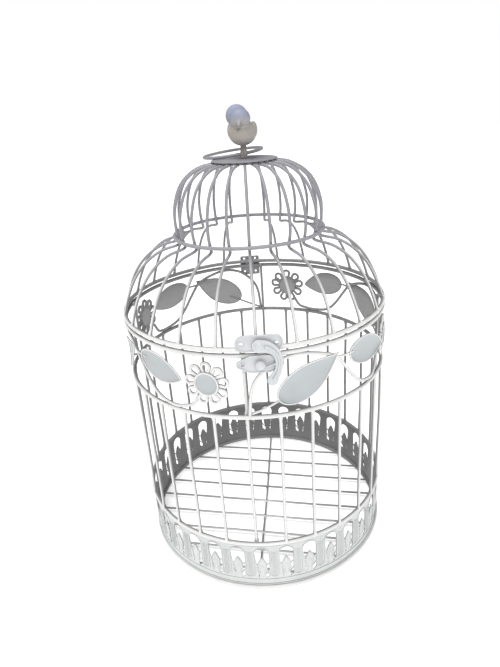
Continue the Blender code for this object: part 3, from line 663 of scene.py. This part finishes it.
def add_mouldings(shape):
    """The lines along the band's foot, sill and top edge."""
    reach = ARCH_PITCH / 2 + 0.0002
    lines = ((GALLERY_LOW + 0.0008, 0.0008), (SILL_Z - 0.0006, 0.0006), (GALLERY_HIGH - 0.0010, 0.0006))
    for height, wire in lines:
        shape.tube([Vector((x, height, FACE)) for x in (-reach, 0, reach)], wire, 6)


def make_gallery():
    """Pressed band: fluted columns, round arches with a bead, pickets and pierced feet."""
    half = ARCH_PITCH / 2
    panel = [(-half, GALLERY_LOW), (half, GALLERY_LOW), (half, GALLERY_HIGH), (-half, GALLERY_HIGH)]
    shape = Shape()
    shape.take(flat_sheet([panel, arch_opening()], GALLERY_SHEET, 0.00012, 1))
    add_bead(shape)
    add_flutes(shape)
    for side in (-1, 1):
        add_side_relief(shape, side)
    swell = Vector((0, (SILL_Z + SHOULDER_Z) / 2 + 0.002, FACE))
    shape.blob(swell, (PICKET_HALF * 0.42, GALLERY_RISE * 0.14, 0.0006))
    add_mouldings(shape)
    slice_up(shape.bm, ARCH_PITCH / 6)
    period = bpy.data.meshes.new("gallery_period")
    shape.bm.to_mesh(period)
    shape.bm.free()

    band = Shape()
    for k in range(ARCH_COUNT):
        start = len(band.bm.verts)
        band.take(period)
        band.bm.verts.ensure_lookup_table()
        turn = ARCH_TURN + 360.0 * k / ARCH_COUNT
        for vert in band.bm.verts[start:]:
            vert.co = on_wall(vert.co, turn)
    band.piece("gallery_pressing", "cage", ["gallery_band"], PRESSED_SHADED, "white_paint")
    bpy.data.meshes.remove(period)


# ---- the floral band ----
def band_point(angle, share):
    """A flat place in the floral band: arc length, height and no depth."""
    return Vector((math.radians(angle) * CAGE_RADIUS, MID_Z + share * BAND_HEIGHT, 0))


def make_vine(number, angle):
    """A vine: up past the post, over to its knot, down to the mid ring and up behind the flower."""
    foot = RING_WIRE * 0.5 / BAND_HEIGHT
    rest = (RING_WIRE + VINE_WIRE) / BAND_HEIGHT
    behind = 0.0026
    route = [
        (1.3, foot, 0.0), (2.6, 0.45, 0.0), (6.0, 0.69, 0.0), (12.5, 0.88, 0.0),
        (21.0, 1 - rest, 0.0), (30.0, 0.87, 0.0), (36.5, 0.755, 0.0), (41.5, 0.53, 0.0),
        (46.5, 0.29, 0.0), (52.0, 0.12, 0.0), (59.5, rest, 0.0),
        (64.5, rest + 0.02, behind * 0.5), (68.5, 0.14, behind), (71.5, 0.31, behind),
    ]
    points = []
    for turn, share, inset in route:
        points.append(polar(CAGE_RADIUS - inset, angle + turn, MID_Z + share * BAND_HEIGHT))
    points = smooth(points, 7)
    shape = Shape()
    shape.tube([p + wobble(p, 0.0004, number, 22) for p in points], VINE_WIRE, 12)
    knot = polar(CAGE_RADIUS + 0.0003, angle + 36.5, MID_Z + 0.755 * BAND_HEIGHT)
    shape.blob(knot, (0.0019, 0.0019, 0.0021))
    shape.piece(f"vine_{number}_wire", "cage", [f"vine_{number}"], PAINT, "white_paint")


def leaf_half_width(t, widest, blunt):
    """Half width against its greatest at a place t along a leaf; a small blunt is a rounder tip."""
    if t < widest:
        return math.sqrt(max(1 - ((widest - t) / widest) ** 2, 0.0))
    return max(math.cos(math.pi / 2 * (t - widest) / (1 - widest)), 0.0) ** blunt


def add_leaf(shape, rims, base, tip, half_width, widest, blunt):
    """A pressed leaf: a shallow dish with both faces, and the rolled rim round it."""
    span = tip - base
    across = Vector((-span.y, span.x, 0)).normalized()
    long_steps = 34
    wide_steps = 12
    front = []
    rim = []
    for j in range(long_steps + 1):
        t = 0.5 - 0.5 * math.cos(math.pi * j / long_steps)
        wide = half_width * leaf_half_width(t, widest, blunt)
        row = []
        for k in range(wide_steps + 1):
            s = 2 * k / wide_steps - 1
            place = base + span * t + across * (s * wide)
            dish = 0.0016 * (abs(s) ** 3 - 1) * min(1.0, wide / (half_width * 0.55))
            crease = -0.00025 * math.exp(-(s / 0.10) ** 2) * (1 - t)
            row.append(Vector((place.x, place.y, LEAF_LAYER + dish + crease)))
        front.append(row)
        rim.append((row[0], row[-1]))
    back = [[Vector((p.x, p.y, p.z - LEAF_SHEET)) for p in row] for row in front]
    loops = [[*one, *two[::-1]] for one, two in zip(front, back)]
    shape.skin(loops)
    edge = [pair[0] for pair in rim] + [pair[1] for pair in rim[-2:0:-1]]
    edge = [Vector((p.x, p.y, p.z - LEAF_SHEET / 2)) for p in edge]
    rims.tube(edge, LEAF_RIM, 8, closed=True, normal=UPWARD)


def make_leaves(number, angle):
    """A large leaf on its stem and a small leaf on a twig past it."""
    unit = CAGE_RADIUS * math.radians(1)
    shape = Shape()
    rims = Shape()
    add_leaf(shape, rims, band_point(12.6, 0.265), band_point(37.0, 0.81), 6.5 * unit, 0.40, 1.1)
    add_leaf(shape, rims, band_point(43.0, 0.735), band_point(66.0, 0.57), 5.7 * unit, 0.45, 0.8)
    stem = [(1.4, 0.05, -0.001), (5.0, 0.10, 0.0), (10.0, 0.19, 0.0), (14.0, 0.27, -0.0006),
            (18.5, 0.355, -0.0008)]
    twig = [(34.5, 0.77, 0.0), (38.0, 0.735, 0.0008), (41.5, 0.73, 0.0012), (45.5, 0.715, 0.0004)]
    for route in (stem, twig):
        points = []
        for turn, share, depth in route:
            place = band_point(turn, share)
            points.append(Vector((place.x, place.y, depth)))
        points = smooth(points, 5)
        radii = [0.0012 - 0.0004 * k / len(points) for k in range(len(points))]
        rims.tube(points, radii, 10)

    def bent(point):
        """Round the wall, and sprung off it a little towards the small leaf's tip."""
        spring = max(point.x / unit - 48.0, 0.0) / 18.0
        return on_wall(Vector((point.x, point.y, point.z + 0.0022 * spring ** 2)), angle)

    shape.move(bent)
    rims.move(bent)
    shape.piece(f"leaves_{number}", "cage", [f"leaf_spray_{number}"], LEAF, "leaf_paint", 50)
    rims.piece(f"leaf_rims_{number}", "cage", [], PAINT, "white_paint", 50)


def petal_loop(k, number):
    """A petal's wire in the flower's own plane, from the cup's rim out and back to it."""
    uneven = 1 + 0.5 * abs(noise.noise(Vector((k, number, 2.2))))
    reach = FLOWER_RADIUS - PETAL_WIRE * uneven
    near = CUP_RADIUS * 0.93
    root = PETAL_HALF * 0.55
    bow = arc((reach - PETAL_HALF, 0), PETAL_HALF, -90, 90, 11)
    loop = smooth([Vector((x, y, 0.0)) for x, y in [(near, -root), *bow, (near, root)]], 2)
    turn = 360 / PETAL_COUNT * (k + 0.25)
    tilt = 6 * noise.noise(Vector((k * 1.7, number * 3.1, 0.4)))
    swing = spin(turn + tilt)
    return [swing @ p for p in loop]


def make_flower(number, angle):
    """A shallow pressed cup with nine loops of wire behind its rim."""
    bearing = angle + FLOWER_ANGLE
    height = MID_Z + FLOWER_RISE * BAND_HEIGHT
    stand = spin(bearing + 90) @ spin(90, "X")
    stand = Matrix.Translation(polar(CAGE_RADIUS, bearing, height)) @ stand
    cup = [(0.0, 0.0007), (0.55, 0.0008), (0.78, 0.0011), (0.88, 0.0019), (0.95, 0.0022),
           (1.0, 0.0018), (1.02, 0.0008), (1.0, -0.0002), (0.9, -0.0006), (0.0, -0.0006)]
    rim = [(0.86, 0.0019), (0.93, 0.0026), (1.01, 0.0024), (1.05, 0.0014), (1.03, 0.0004),
           (0.90, 0.0004)]
    shape = Shape()
    shape.turned([(CUP_RADIUS * share, z) for share, z in cup], None, 48)
    petals = Shape()
    for k in range(PETAL_COUNT):
        petals.tube(petal_loop(k, number), PETAL_WIRE, 8, normal=UPWARD)
    petals.hoop_of([(CUP_RADIUS * share, z) for share, z in rim], 48)
    shape.move(lambda p: stand @ p)
    petals.move(lambda p: stand @ p)
    petals.piece(f"flower_{number}_petals", "cage", [], PAINT, "white_paint", 50)
    shape.piece(f"flower_{number}_cup", "cage", [f"flower_{number}"], LEAF, "leaf_paint", 50)


def make_floral_band():
    for k in range(POST_COUNT):
        angle = POST_START + 360.0 * k / POST_COUNT
        make_vine(k + 1, angle)
        make_leaves(k + 1, angle)
        make_flower(k + 1, angle)


# ---- the lid ----
def rib_profile():
    """A rib's points in the XZ plane, from the crown plate down to the lid ring."""
    inside = NECK_RADIUS - RING_WIRE - RIB_WIRE + 0.0006
    low = LID_Z + RING_WIRE * 0.6

    def dome(out, up):
        return Vector((RIB_TOP_RADIUS + out * (inside - RIB_TOP_RADIUS), 0, NECK_Z + up * DOME_RISE))

    def shoulder(out, up):
        return Vector((inside + out * (CAGE_RADIUS - inside), 0, low + up * (NECK_Z - low)))

    return smooth([
        dome(-0.1, 1.0), dome(0.45, 0.95), dome(0.82, 0.74), dome(1.0, 0.43),
        dome(1.03, 0.16), dome(0.99, -0.02), shoulder(0.0, 0.915), shoulder(0.29, 0.855),
        shoulder(0.55, 0.71), shoulder(0.76, 0.49), shoulder(0.91, 0.22),
        shoulder(0.995, 0.0),
    ], 5)


def make_dome():
    """The ribs, the neck ring they are welded inside and the crown plate, as one frame."""
    shape = Shape()
    profile = rib_profile()
    for k in range(RIB_COUNT):
        angle = 90 + 360.0 * k / RIB_COUNT
        points = []
        radii = []
        for spot in profile:
            point = polar(spot.x, angle, spot.z)
            low_end = spot.z - LID_Z
            bow = min(1.0, low_end / 0.02)
            points.append(point + wobble(point, 0.0008 * bow, k + 1, 16))
            radii.append(RIB_WIRE * (1 + 0.5 * math.exp(-(low_end / 0.0028) ** 2)))
        shape.tube(points, radii, 10)
        weld = polar(NECK_RADIUS - RING_WIRE * 0.9, angle, NECK_Z)
        shape.blob(weld, (0.0012, 0.0012, 0.0016), None, 8, 6)
    points, radii = hoop(NECK_RADIUS, NECK_Z, NECK_WIRE, 9, 120)
    shape.tube(points, radii, 12, closed=True, normal=UPWARD)
    upper = RIB_TOP_Z + CROWN_PLATE / 2
    lower = RIB_TOP_Z - CROWN_PLATE / 2
    edge = RIB_TOP_RADIUS + 0.0025
    shape.turned([(0, upper), (edge, upper), (edge, lower), (0, lower)], None, 40)
    shape.piece("dome_wires", "lid", ["dome_frame"], PAINT, "white_paint")


def make_cap():
    """The shallow pressed cap with its rolled edge."""
    low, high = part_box("crown_cap")
    rim_z = float(low[2])
    crown = float(high[2])
    reach = float(high[0])
    rise = crown - rim_z
    profile = [(0, crown), (reach * 0.12, crown - 0.0001)]
    for k in range(1, 14):
        t = 0.12 + 0.85 * k / 13
        profile.append((reach * t, crown - (rise - 0.0010) * t ** 2.1))
    profile += [(reach * 0.995, rim_z + 0.0008), (reach, rim_z + 0.0004), (reach * 0.985, rim_z),
                (reach * 0.9, rim_z + 0.0003), (0, rim_z + 0.0004)]
    shape = Shape().turned(profile, None, 64)
    shape.piece("crown_cap_pressing", "lid", ["crown_cap"], PAINT, "white_paint", 50)


def sculpt(name, shapes, size):
    """Overlapping forms fused and smoothed into one skin."""
    data = bpy.data.meshes.new(name)
    shapes.bm.to_mesh(data)
    shapes.bm.free()
    made = bpy.data.objects.new(name, data)
    bpy.context.scene.collection.objects.link(made)
    remesh = made.modifiers.new("fuse", "REMESH")
    remesh.mode = "VOXEL"
    remesh.voxel_size = size
    remesh.use_smooth_shade = True
    soften = made.modifiers.new("soften", "SMOOTH")
    soften.factor = 0.6
    soften.iterations = 8
    bpy.context.view_layer.update()
    graph = bpy.context.evaluated_depsgraph_get()
    final = bpy.data.meshes.new_from_object(made.evaluated_get(graph))
    bpy.data.objects.remove(made, do_unlink=True)
    return final


def make_stem():
    """The finial's post on its flared foot, with the eye that the hanging ring goes through."""
    low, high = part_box("finial_stem")
    foot = float(low[2])
    head = float(high[2])
    eye = joint_place("hanging_ring_swing")
    axis = Vector(joint_of("hanging_ring_swing")["axis"])
    forms = Shape()
    forms.turned([(0.0026, head + 0.0020), (0.0027, eye.z + 0.004), (0.0031, eye.z),
                  (0.0033, foot + 0.0010), (0.0046, foot)], None, 28)
    turn = axis.to_track_quat("Z", "Y").to_matrix().to_4x4()
    collar = [(0.0043, 0.0012), (0.0048, 0.0), (0.0043, -0.0012)]
    forms.turned(collar, Matrix.Translation(eye) @ turn)
    shape = Shape()
    shape.take(sculpt("stem_forms", forms, 0.0003))
    shape.piece("finial_stem_cast", "lid", ["finial_stem"], BIRD, "bird_paint", 60)


def make_bird():
    """A plump bird with folded wings, a lowered head, a short beak and a raised tail."""
    low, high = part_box("finial_bird")
    half = float(high[0] - low[0]) / 2 * 0.985
    foot = float(low[2])
    body_middle = Vector((0, 0, foot + half * 0.78))
    head_middle = body_middle + Vector((-half * 0.10, -half * 0.72, half * 0.95))
    tail_middle = body_middle + Vector((-half * 0.34, half * 1.05, half * 1.10))

    forms = Shape()
    forms.blob(body_middle, (half * 0.97, half * 1.28, half * 0.86), spin(8, "X"), 32, 20)
    breast = body_middle + Vector((0, -half * 0.42, half * 0.06))
    forms.blob(breast, (half * 0.88, half * 0.70, half * 0.80), None, 28, 18)
    forms.blob(head_middle, (half * 0.70, half * 0.74, half * 0.64), None, 28, 18)
    nape = (head_middle + body_middle) / 2
    forms.blob(nape, (half * 0.62, half * 0.66, half * 0.58), spin(30, "X"), 24, 16)
    forms.blob(tail_middle, (half * 0.78, half * 0.30, half * 0.80), spin(-22, "X"), 28, 18)
    rump = (tail_middle + body_middle) / 2 + Vector((0, half * 0.1, 0))
    forms.blob(rump, (half * 0.60, half * 0.48, half * 0.62), spin(-22, "X"), 24, 16)
    for side in (-1, 1):
        wing = body_middle + Vector((side * half * 0.80, half * 0.20, half * 0.16))
        forms.blob(wing, (half * 0.25, half * 0.86, half * 0.48), spin(16, "X"), 24, 14)
    beak_tip = head_middle + Vector((-half * 0.12, -half * 1.02, -half * 0.42))
    beak = [head_middle.lerp(beak_tip, t) for t in (0.45, 0.65, 0.82, 0.95)]
    forms.tube(beak, [half * 0.28, half * 0.22, half * 0.14, half * 0.07], 12)
    shape = Shape()
    shape.take(sculpt("bird_forms", forms, 0.0005))
    shape.piece("finial_bird_cast", "lid", ["finial_bird"], BIRD, "bird_paint", 70)


def make_hanging_ring():
    """The loose wire ring, through the stem's eye and lying back on the cap."""
    turn = spin(HANGING_RING_TURN) @ spin(HANGING_RING_TILT, "Y") @ spin(HANGING_RING_LEAN, "X")
    place = Matrix.Translation(joint_place("hanging_ring_swing")) @ turn
    steps = 110
    points = []
    for k in range(steps):
        point = polar(HANGING_RING_RADIUS, 360.0 * k / steps, 0)
        points.append(place @ (point + Vector((0, HANGING_RING_RADIUS, 0))))
    shape = Shape()
    shape.tube(points, HANGING_RING_WIRE, 12, closed=True, normal=place.to_3x3() @ UPWARD)
    shape.piece("hanging_ring_wire", "hanging_ring", ["hanging_ring"], PAINT, "white_paint")


# ---- latch and hinge ----
def standing(x, y, z):
    """A flat plate stood up facing the front: its X stays, its Y is height, its Z is -Y."""
    return Matrix.Translation((x, y, z)) @ spin(90, "X")


def node_place(name):
    """A node's middle X and Z, its width and height, and its back and front Y."""
    low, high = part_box(name)
    size = [float(b - a) for a, b in zip(low, high)]
    middle_of = [float(a + b) / 2 for a, b in zip(low, high)]
    return middle_of[0], middle_of[2], size[0], size[2], float(high[1]), float(low[1])


def plate_outline(width, height, pointed):
    """A long plate with round ends, or with ends drawn out to blunt points."""
    half = width / 2
    tall = height / 2
    if not pointed:
        right = arc((half - tall, 0), tall, -90, 90, 17)
        left = arc((tall - half, 0), tall, 90, 270, 17)
        return [*right, *left]
    corner = half * 0.42
    blunt = tall * 0.42
    right = arc((half - blunt, 0), blunt, -60, 60, 9)
    left = arc((blunt - half, 0), blunt, 120, 240, 9)
    return [(corner, -tall), *right, (corner, tall), (-corner, tall), *left, (-corner, -tall)]


def latch_sheet(node_name, made_name, body, pointed, centre_hole):
    """A pressed plate: a flat face in a rolled rim, with a collar round each screw hole."""
    x, z, width, height, back, front = node_place(node_name)
    outline = plate_outline(width - 2 * PLATE_RIM, height - 2 * PLATE_RIM, pointed)
    screw = width / 2 - SCREW_INSET
    holes = [circle((-screw, 0), SCREW_HOLE), circle((screw, 0), SCREW_HOLE)]
    holes.append(circle((0, centre_hole), SHAFT_HOLE))
    thickness = back - front
    shape = Shape()
    shape.take(flat_sheet([outline, *holes], thickness * 0.7, 0.0001))
    rolled = divided_loop([Vector((a, b, thickness * 0.15)) for a, b in outline])
    shape.tube(rolled, PLATE_RIM, 10, closed=True, normal=UPWARD)
    lift = thickness * 0.35
    collar = [(0.0012, lift - 0.0002), (0.0013, lift + 0.0003), (0.0018, lift + 0.0004),
              (0.0024, lift + 0.0001), (0.0025, lift - 0.0002)]
    for side in (-1, 1):
        ring = Shape().hoop_of(collar, 24)
        for vert in ring.bm.verts:
            vert.co.x += side * screw
        shape.join(ring)
    place = standing(x, (back + front) / 2, z)
    shape.move(lambda p: place @ p)
    shape.piece(made_name, body, [node_name], FITTING, "fitting_paint", 45)


def divided_loop(points):
    """The same closed loop with its long sides divided, so that a tube on it stays even."""
    out = []
    for a, b in zip(points, [*points[1:], points[0]]):
        steps = max(1, math.ceil((b - a).length / 0.003))
        out += [a.lerp(b, k / steps) for k in range(steps)]
    return out


def band_outline(route):
    """The outline of a flat band with round ends; a route point's z is its half width there."""
    left = []
    right = []
    for k, spot in enumerate(route):
        along = (route[min(k + 1, len(route) - 1)] - route[max(k - 1, 0)]).xy.normalized()
        left.append((spot.x - along.y * spot.z, spot.y + along.x * spot.z))
        right.append((spot.x + along.y * spot.z, spot.y - along.x * spot.z))
    end_turn = math.degrees(math.atan2(route[-1].y - route[-2].y, route[-1].x - route[-2].x))
    start_turn = math.degrees(math.atan2(route[1].y, route[1].x))
    tip = arc(route[-1].xy, route[-1].z, end_turn + 90, end_turn - 90, 15)
    tail = arc(route[0].xy, route[0].z, start_turn - 90, start_turn - 270, 17)
    return [*left[:-1], *tip, *right[1:-1][::-1], *tail[:-1]]


def make_hook():
    """The cast hook: a round head on the rivet, a curved arm, a catch bar and a thumb pad."""
    back, front = node_place("latch_hook")[-2:]
    pivot = joint_place("latch_hook_pivot")
    path = [
        (0.0, 0.0, 0.0057), (0.0055, -0.0008, 0.0052), (0.0105, -0.0036, 0.0042),
        (0.0140, -0.0085, 0.0034), (0.0148, -0.0150, 0.0030), (0.0138, -0.0212, 0.0030),
        (0.0112, -0.0262, 0.0036), (0.0090, -0.0300, 0.0044),
    ]
    route = smooth([Vector(spot) for spot in path], 5)
    thickness = back - front
    lift = thickness / 2
    shape = Shape()
    outlines = [band_outline(route), circle((0, 0), SHAFT_HOLE)]
    shape.take(flat_sheet(outlines, thickness, thickness * 0.36, 5))
    shape.turned([(0.0018, lift + 0.0005), (0.0040, lift + 0.0005), (0.0046, lift),
                  (0.0046, lift - 0.0004)], None, 32)
    arm = route[5:-2]
    spine = [Vector((spot.x, spot.y, lift - 0.0002)) for spot in arm]
    shape.tube(spine, [spot.z * 0.34 for spot in arm], 10)
    catch = [(0.0142, -0.0150, -0.0002), (0.0092, -0.0166, -0.0004), (0.0046, -0.0181, -0.0004)]
    shape.tube([Vector(spot) for spot in catch], 0.0008, 10)
    pad = Vector((route[-1].x, route[-1].y, lift * 0.6))
    shape.blob(pad, (0.0036, 0.0036, 0.0007), None, 24, 10)
    place = standing(pivot.x, (back + front) / 2, pivot.z)
    shape.move(lambda p: place @ p)
    shape.piece("latch_hook_cast", "latch_hook", ["latch_hook"], FITTING, "fitting_paint", 45)


def rivet_profile(reach, depth):
    """A domed head on a plain shaft, as (radius, depth) points."""
    head = 0.0015
    shaft = 0.0016
    under = depth - head
    return [(0, depth), (reach * 0.45, depth - head * 0.12), (reach * 0.80, depth - head * 0.5),
            (reach * 0.98, depth - head * 0.95), (reach * 0.9, under), (shaft, under),
            (shaft, 0.0), (0, 0.0)]


def stud_profile(reach, depth):
    """A domed head on a neck that steps down to the shaft in the plate."""
    head = 0.0020
    shaft = 0.0015
    under = depth - head
    return [(0, depth), (reach * 0.35, depth - head * 0.06), (reach * 0.68, depth - head * 0.26),
            (reach * 0.90, depth - head * 0.55), (reach, depth - head * 0.85),
            (reach * 0.96, under), (STUD_NECK, under), (STUD_NECK, 0.0018),
            (STUD_NECK + 0.0004, 0.0014), (shaft, 0.0012), (shaft, 0.0), (0, 0.0)]


def make_fastenings():
    """The hook's rivet and the stud on the keeper plate."""
    for name, body, profile in (("hook_rivet", "lid", rivet_profile),
                                ("keeper_stud", "cage", stud_profile)):
        x, z, width, _, back, front = node_place(name)
        shape = Shape().turned(profile(width / 2, back - front), standing(x, back, z), 32)
        shape.piece(f"{name}_turned", body, [name], FITTING, "fitting_paint", 45)


def rolled_knuckle(length):
    """A knuckle's profile about its own axis, from one end to the other."""
    chamfer = 0.0002
    return [(HINGE_BORE, length), (KNUCKLE_RADIUS - chamfer, length),
            (KNUCKLE_RADIUS, length - 0.0003), (KNUCKLE_RADIUS, 0.0003),
            (KNUCKLE_RADIUS - chamfer, 0.0), (HINGE_BORE, 0.0)]


def make_hinge_leaf(name, body, turn, hole_inset):
    """A pressed leaf on one side of the axis (turn 1 is up), with its knuckles and rivet holes."""
    axis = joint_place("lid_hinge")
    low, high = [Vector([float(v) for v in corner]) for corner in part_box(name)]
    half = (high.x - low.x) / 2
    near = turn * (KNUCKLE_RADIUS + RUNNING)
    far = (high.z if turn > 0 else low.z) - axis.z
    corner = 0.0012
    outline = [(-half, near), (half, near), (half, far - corner * turn), (half - corner, far),
               (-half + corner, far), (-half, far - corner * turn)]
    hole_z = far - turn * hole_inset
    holes = [circle((side * half * HINGE_HOLE_SHARE, hole_z), SCREW_HOLE) for side in (-1, 1)]
    shape = Shape()
    shape.take(flat_sheet([outline, *holes], HINGE_SHEET, 0.0002))
    beside = KNUCKLE_HALF + RUNNING
    spans = [(-KNUCKLE_HALF, KNUCKLE_HALF)] if turn > 0 else [(-half, -beside), (beside, half)]
    face_y = low.y + HINGE_SHEET / 2
    joined = near + 0.0004 * turn
    for start, end in spans:
        tab = [(start, 0.0), (end, 0.0), (end, joined), (start, joined)]
        shape.take(flat_sheet([tab], HINGE_SHEET, 0.0002))
        lie = Matrix.Translation((start, 0, face_y - axis.y)) @ spin(90, "Y")
        shape.turned(rolled_knuckle(end - start), lie, 28)
    place = standing((low.x + high.x) / 2, face_y, axis.z)
    shape.move(lambda p: place @ p)
    shape.piece(f"{name}_pressed", body, [name], FITTING, "fitting_paint", 40)


def make_hinge():
    """Two pressed leaves rolled round one pin with a head at either end."""
    make_hinge_leaf("hinge_leaf_lower", "cage", -1, 0.0040)
    make_hinge_leaf("hinge_leaf_upper", "lid", 1, 0.0030)
    axis = joint_place("lid_hinge")
    low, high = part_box("hinge_pin")
    length = float(high[0] - low[0])
    lie = Matrix.Translation((float(low[0]), axis.y, axis.z)) @ spin(90, "Y")
    cap = [(0, 0.0), (0.0012, 0.0001), (0.0018, 0.0006), (0.0018, 0.0008), (HINGE_PIN, 0.0008)]
    profile = [(reach, length - inset) for reach, inset in cap] + cap[::-1]
    shape = Shape().turned(profile, lie, 24)
    shape.piece("hinge_pin_turned", "cage", ["hinge_pin"], FITTING, "fitting_paint", 40)


# ---- studio and camera ----
def make_world():
    """White behind the object, and a weaker white as the light from all round."""
    world = bpy.data.worlds.new("studio_world")
    bpy.context.scene.world = world
    world.use_nodes = True
    tree = world.node_tree
    background = tree.nodes["Background"]
    background.inputs["Color"].default_value = (1.0, 1.0, 1.0, 1.0)
    ray = node(tree, "ShaderNodeLightPath")
    strength = node(tree, "ShaderNodeMapRange")
    strength.inputs["To Min"].default_value = AMBIENT
    strength.inputs["To Max"].default_value = 1.0
    link(tree, ray, "Is Camera Ray", strength, "Value")
    link(tree, strength, "Result", background, "Strength")


def make_studio_floor():
    floor = Shape()
    corners = ((-1, -1), (1, -1), (1, 1), (-1, 1))
    floor.bm.faces.new([floor.bm.verts.new((FLOOR_HALF * x, FLOOR_HALF * y, FLOOR_Z))
                        for x, y in corners])
    data = bpy.data.meshes.new("studio_floor")
    floor.bm.to_mesh(data)
    floor.bm.free()
    made = bpy.data.objects.new("studio_floor", data)
    bpy.context.scene.collection.objects.link(made)
    pale = bpy.data.materials.new("pale_floor")
    pale.use_nodes = True
    shader = pale.node_tree.nodes["Principled BSDF"]
    shader.inputs["Base Color"].default_value = (0.92, 0.92, 0.92, 1.0)
    shader.inputs["Roughness"].default_value = 0.9
    shader.inputs["Emission Color"].default_value = (1.0, 1.0, 1.0, 1.0)
    shader.inputs["Emission Strength"].default_value = FLOOR_GLOW
    data.materials.append(pale)


def make_sun(name, source, softness, strength):
    """A sun that shines from the source towards the middle, softened over an angle."""
    light = bpy.data.lights.new(name, "SUN")
    light.angle = math.radians(softness)
    light.energy = strength
    holder = bpy.data.objects.new(name, light)
    holder.location = source
    holder.rotation_euler = Vector(source).to_track_quat("Z", "Y").to_euler()
    bpy.context.scene.collection.objects.link(holder)


def make_studio():
    make_world()
    make_studio_floor()
    make_sun("key_light", (0.25, -1.6, 1.1), 22, KEY_LIGHT)
    make_sun("top_light", (-0.4, 0.1, 2.0), 40, TOP_LIGHT)


def make_camera():
    """The view from in front and above, rolled a little."""
    data = bpy.data.cameras.new("camera")
    data.lens = LENS
    data.clip_start = 0.01
    camera = bpy.data.objects.new("camera", data)
    turn = spin(CAMERA_YAW) @ spin(90 - CAMERA_DIP, "X") @ spin(CAMERA_ROLL)
    back = -CAMERA_BACK * CAGE_RADIUS
    place = Matrix.Translation((0, back, CAMERA_UP * CAGE_RADIUS + FOOT_Z))
    camera.matrix_world = place @ turn
    bpy.context.scene.collection.objects.link(camera)
    bpy.context.scene.camera = camera


make_camera()
# Each coat's second colour is the painted shade on faces turned in, and its third the painted shade higher
# up; the bird's third is its bluer head tone.
PAINT = chalk_paint("white_paint_coat", (0.80, 0.80, 0.79), (0.22, 0.22, 0.22), (0.31, 0.305, 0.33))
# The pressed band takes the white paint darkened, as painted shade.
PRESSED_SHADED = chalk_paint("pressed_shaded_paint_coat", (0.66, 0.68, 0.67), (0.17, 0.17, 0.17), (0.36, 0.36, 0.38))
LEAF = chalk_paint("leaf_paint_coat", (0.49, 0.52, 0.53), (0.30, 0.30, 0.30), (0.40, 0.40, 0.42))
BIRD = chalk_paint("bird_paint_coat", (0.40, 0.37, 0.34), (0.26, 0.25, 0.25), (0.28, 0.31, 0.41), 0.55,
                   upper_span=(BIRD_MIDDLE_Z - 0.002, BIRD_MIDDLE_Z + 0.012))
FITTING = chalk_paint("fitting_paint_coat", (0.63, 0.65, 0.66), (0.24, 0.24, 0.25), (0.5, 0.5, 0.52), 0.32)
make_rings()
make_wall()
make_floor()
make_gallery()
make_floral_band()
make_dome()
make_cap()
make_stem()
make_bird()
make_hanging_ring()
latch_sheet("latch_plate", "latch_plate_pressed", "lid", False, PIVOT_DROP)
latch_sheet("keeper_plate", "keeper_plate_pressed", "cage", True, 0.0)
make_hook()
make_fastenings()
make_hinge()
bpy.context.scene.view_settings.view_transform = "Standard"
make_studio()
